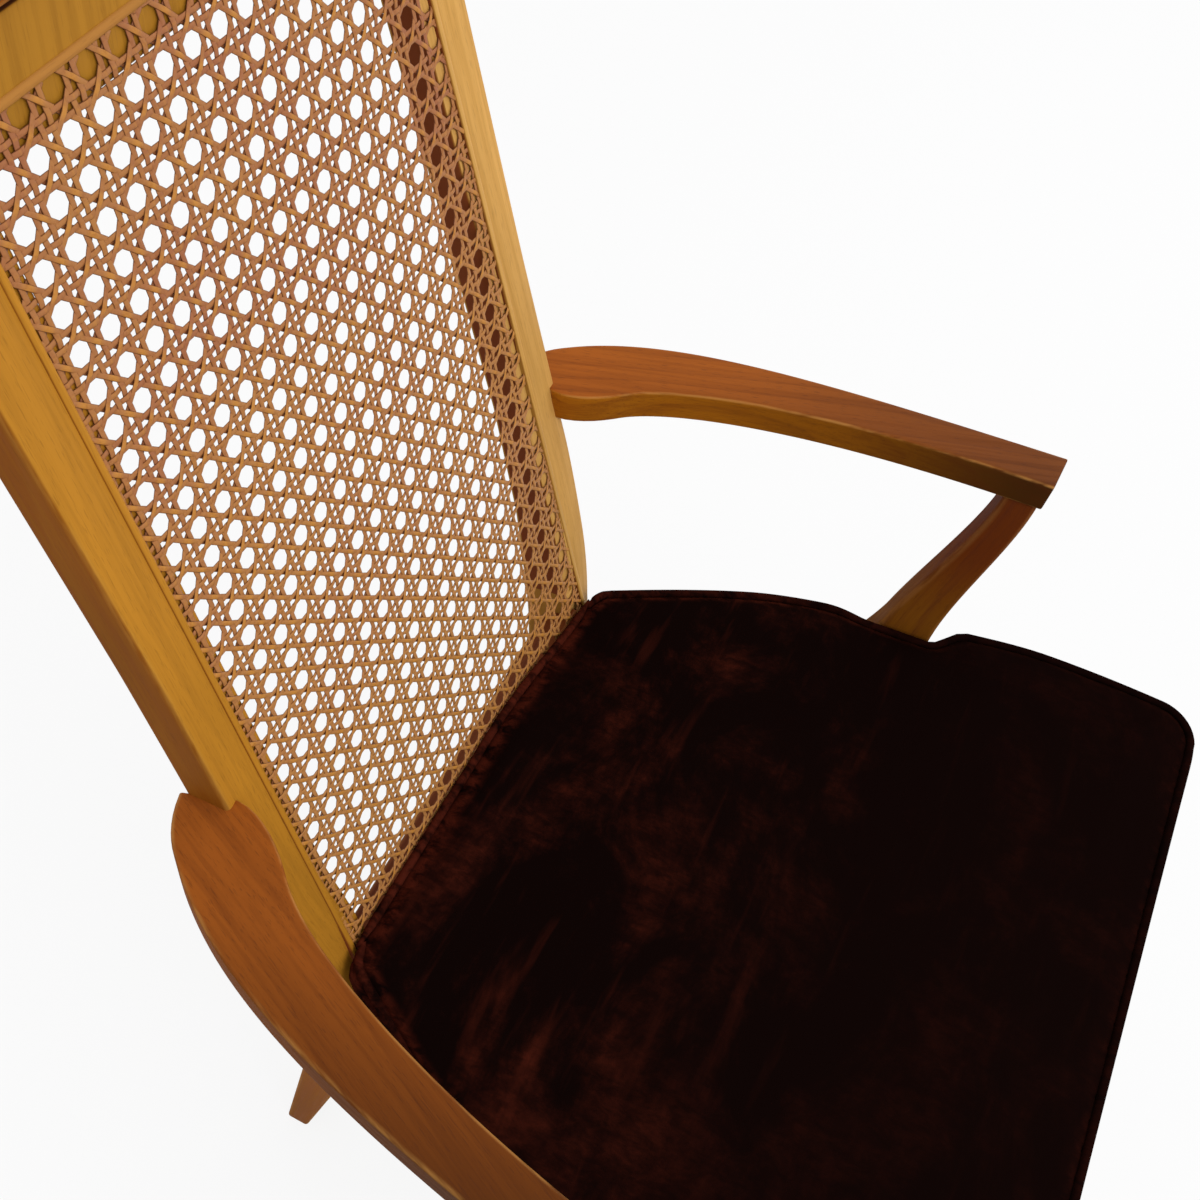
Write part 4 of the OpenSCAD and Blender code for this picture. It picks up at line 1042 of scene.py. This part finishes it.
# Nearly black pile with a reddish nap in patches, a reddish nap along the seam that is partly a painted
# highlight, and more of it toward the rear as painted light
def velvetMaterial():
    material, tree, shader = newMaterial("velvet", **{
        "Roughness": 0.9, "Specular IOR Level": 0.0, "Sheen Weight": 0.02, "Sheen Roughness": 0.4,
        "Sheen Tint": tone("b0603a")})
    where, rear = objectPlace(tree), seatY * mm
    broad = noiseNode(tree, stretched(tree, where, (1, 1.4, 1)), 8.0, 6.0, 0.68, 0.3)
    fine = noiseNode(tree, stretched(tree, where, (1.6, 0.7, 1)), 70.0, 4.0, 0.7, 0.4)
    crossed = makeNode(tree, "ShaderNodeMapping", {"Vector": where, "Rotation": (0, 0, 0.9),
                                                   "Scale": (9, 60, 20)}).outputs[0]
    strokes = remap(tree, noiseNode(tree, crossed, 1.0, 3.0, 0.6, 0.2), 0.56, 0.78)
    seam = times(tree, attribute(tree, "napAndHighlight"), remap(tree, fine, 0.35, 0.65))
    napAndHighlight = times(tree, remap(tree, broad, 0.45, 0.73), remap(tree, fine, 0.3, 0.75, 0.2, 1.0))
    napAndHighlight = mathNode(tree, "ADD", napAndHighlight, times(tree, strokes, 0.3), True)
    napAndHighlight = mathNode(tree, "ADD", napAndHighlight, seam, True)
    # Painted shade: the nap fades toward the seat's front
    napAndHighlight = times(tree, napAndHighlight, remap(tree, axes(tree, where)[1], rear - 0.33, rear - 0.06, 0.15, 1.0))
    tree.links.new(mixColor(tree, napAndHighlight, tone("0f0605"), tone("481b11")), shader.inputs["Base Color"])
    bumped(tree, shader, 0.3, 0.0006, noiseNode(tree, where, 900.0, 2.0, 0.7))
    return material


def applyModifiers(thing):
    mesh = evaluatedMesh(thing)
    thing.modifiers.clear()
    thing.data = mesh
    return mesh


# Rises from 0 to 1 over a run that starts so many millimetres before the rear edge
def towardRear(y, start, run):
    return smooth((y - seatY + start) / run)


# Cloth blown up from inside, held down along the welt and at the lower edge
def puffed(cushion, mesh, seam):
    rest = [v.co.copy() for v in mesh.vertices]
    held = cushion.vertex_groups.new(name="held")
    for v in mesh.vertices:
        sewn = v.co.z / mm - seatZ < railTop + 6 or seam.find(v.co)[2] < 7 * mm
        held.add([v.index], 1.0 if sewn else 0.0, "REPLACE")
    cloth = cushion.modifiers.new("cloth", "CLOTH")
    cloth.settings.quality = 5
    cloth.settings.use_pressure = True
    cloth.settings.uniform_pressure_force = pad["pressure"]
    cloth.settings.vertex_group_mass = "held"
    cloth.settings.effector_weights.gravity = 0
    cloth.point_cache.frame_end = pad["frames"]
    for step in range(1, pad["frames"] + 1):
        bpy.context.scene.frame_set(step)
    mesh = applyModifiers(cushion)
    bpy.context.scene.frame_set(1)
    for v, start in zip(mesh.vertices, rest):
        move = v.co - start
        v.co = start + move * min(1, pad["cap"] * mm / max(move.length, 1e-9))


# The welt presses the cover down around it, creases run over the top, and the nap is rubbed beside it,
# painted lighter there as a highlight that grows toward the rear
def creased(mesh, seam):
    rubbed = []
    for v in mesh.vertices:
        near, _, distance = seam.find(v.co)
        if distance < pad["pressed"] * mm:
            away = (v.co - near) if distance > 1e-6 else Vector((0, 0, -1))
            v.co = near + (away.normalized() + Vector((0, 0, -0.7))).normalized() * pad["pressed"] * mm
        rear = towardRear(v.co.y / mm, pad["rearReach"], pad["rearReach"])
        crumple = noise.noise(v.co * 22) + (0.5 + 1.5 * rear) * noise.noise(v.co * 55)
        v.co.z += crumple * pad["crumple"] * mm * smooth((v.co.z / mm - seatZ + 6) / 8)
        level = smooth((v.co.z / mm - seatZ + 8) / 6)
        beside = smooth((seam.find(v.co)[2] / mm - 4) / (8 + 12 * rear))
        rubbed.append(level * (0.8 + 0.4 * rear) * (1 - beside))
    addAttribute(mesh, "napAndHighlight", rubbed)


def simulatedPad(mesh, weltPath):
    cushion = addObject("cushion", mesh)
    remesh = cushion.modifiers.new("remesh", "REMESH")
    remesh.mode, remesh.voxel_size = "VOXEL", pad["voxel"] * mm
    mesh = applyModifiers(cushion)
    seam = kdtree.KDTree(len(weltPath))
    for i, p in enumerate(weltPath):
        seam.insert(p * mm, i)
    seam.balance()
    puffed(cushion, mesh, seam)
    finer = cushion.modifiers.new("finer", "SUBSURF")
    finer.levels = finer.render_levels = 1
    mesh = applyModifiers(cushion)
    creased(mesh, seam)
    bpy.data.objects.remove(cushion)
    return mesh


velvet = velvetMaterial()
weltPath = [onSeat(*p) for p in padRing(weltIn, weltZ)]
for p in weltPath:
    p.z += 1.4 * noise.noise(p / 15) * towardRear(p.y, pad["rearReach"], 20)
coverMesh = simulatedPad(padMesh(), weltPath)
for polygon in coverMesh.polygons:
    polygon.use_smooth = True
cover = addPiece("seat_pad_cover", coverMesh, velvet, "seat_pad")
weltMesh = runTree("seat_welt_cord", pathMesh("welt", [weltPath], True), strand,
                   {"Width": pad["weltDiameter"] * mm, "Thickness": pad["weltDiameter"] * mm,
                    "Sides": 16, "Finish": velvet})
# The welt's nap is painted lighter toward the rear, as light
addAttribute(weltMesh, "napAndHighlight", [0.35 + 0.5 * towardRear(v.co.y / mm, 40, 30) for v in weltMesh.vertices])
addPiece("seat_welt_cord", weltMesh, velvet, "seat_welt")
print("seat pad made")


# A plain finish in two tones, broken up by noise of a scale, detail and roughness
def speckledMaterial(name, speckles, tones, colorSpan=None, dullSpan=None, **constants):
    material, tree, shader = newMaterial(name, **constants)
    speckle = noiseNode(tree, objectPlace(tree), *speckles)
    share = remap(tree, speckle, *colorSpan) if colorSpan else speckle
    tree.links.new(mixColor(tree, share, tone(tones[0]), tone(tones[1])), shader.inputs["Base Color"])
    if dullSpan:
        tree.links.new(remap(tree, speckle, *dullSpan), shader.inputs["Roughness"])
    return material


# Finishes of the CAD pieces that stay: hidden woodwork, screws, glides and dust cover
keptFinishes = {
    "block_wood": woods["paleWood"], "dowel_wood": woods["paleWood"], "plywood": woods["paleWood"],
    "screw_brass": speckledMaterial("screw_brass", (700.0,), ("b79c54", "8c7436"),
                                    dullSpan=(0.3, 0.7, 0.25, 0.5), Metallic=1.0),
    "glide_plastic": speckledMaterial("glide_nylon", (300.0,), ("2c2622", "4b433c"), (0.5, 0.7),
                                      (0.4, 0.7, 0.45, 0.7)),
    "dust_cloth": speckledMaterial("dust_cloth", (1400.0, 4.0, 0.8), ("141416", "2e2e31"),
                                   Roughness=0.95)}
for row in frame["record"]["subparts"]:
    if row["material_slot"] in keptFinishes:
        kept = frame["nodes"][row["node"]]
        kept.data.materials.clear()
        kept.data.materials.append(keptFinishes[row["material_slot"]])
print("kept CAD pieces finished")

# Floor, light and camera, in metres
studio = {"floorSize": 12, "floorGlow": 0.86, "world": 0.72, "keyPower": 34, "keySize": 1.6,
          "fillPower": 10}
view = {"place": (-0.4428, seatY * mm - 0.1785, 1.3407), "lens": 42.19,
        "right": (0.4307, -0.8928, 0.1323), "up": (0.7069, 0.4248, 0.5655)}


# 1 where the camera sees a surface straight, in a gloss or through glass
def seenRays(tree):
    rays = makeNode(tree, "ShaderNodeLightPath").outputs
    seen = mathNode(tree, "MAXIMUM", rays["Is Camera Ray"], rays["Is Glossy Ray"])
    return mathNode(tree, "MAXIMUM", seen, rays["Is Transmission Ray"])


half = studio["floorSize"] / 2
floorMesh = bpy.data.meshes.new("floor")
floorMesh.from_pydata([(-half, -half, 0), (half, -half, 0), (half, half, 0), (-half, half, 0)], [],
                      [(0, 1, 2, 3)])
floor = addObject("floor", floorMesh)
floorLook, tree, shader = newMaterial("pale_floor", **{"Base Color": (0.86, 0.86, 0.87, 1),
                                                       "Roughness": 0.9, "Specular IOR Level": 0.1})
glow = makeNode(tree, "ShaderNodeEmission", {"Color": (1, 1, 1, 1), "Strength": 1.0}).outputs[0]
mix = makeNode(tree, "ShaderNodeMixShader", {0: times(tree, seenRays(tree), studio["floorGlow"]),
                                             1: shader.outputs[0], 2: glow})
tree.links.new(mix.outputs[0], tree.nodes["Material Output"].inputs["Surface"])
floorMesh.materials.append(floorLook)

world = bpy.data.worlds.new("studio")
bpy.context.scene.world = world
world.use_nodes = True
sky = world.node_tree
background = sky.nodes["Background"].inputs
background["Color"].default_value = (1, 1, 1, 1)
sky.links.new(remap(sky, seenRays(sky), 0.0, 1.0, studio["world"], 1.0, "LINEAR"), background["Strength"])


def softLamp(name, place, target, size, power):
    lamp = bpy.data.lights.new(name, "AREA")
    lamp.energy, lamp.size = power, size
    holder = addObject(name, lamp)
    holder.location = place
    holder.rotation_euler = (Vector(target) - Vector(place)).to_track_quat("-Z", "Y").to_euler()


softLamp("key", (-0.6, -2.0, 2.8), (0, 0, 0.5), studio["keySize"], studio["keyPower"])
softLamp("fill", (2.2, -0.6, 1.8), (0, 0, 0.5), studio["keySize"], studio["fillPower"])

camera = bpy.data.cameras.new("photo_view")
camera.lens, camera.sensor_width, camera.clip_start = view["lens"], 36, 0.01
right, up = Vector(view["right"]).normalized(), Vector(view["up"]).normalized()
toCamera = right.cross(up).normalized()
pose = Matrix((right, toCamera.cross(right), toCamera)).transposed().to_4x4()
cameraObject = addObject("photo_view", camera)
cameraObject.matrix_world = Matrix.Translation(view["place"]) @ pose
bpy.context.scene.camera = cameraObject
bpy.context.scene.view_settings.view_transform = "Standard"
print("stage, light and camera set")
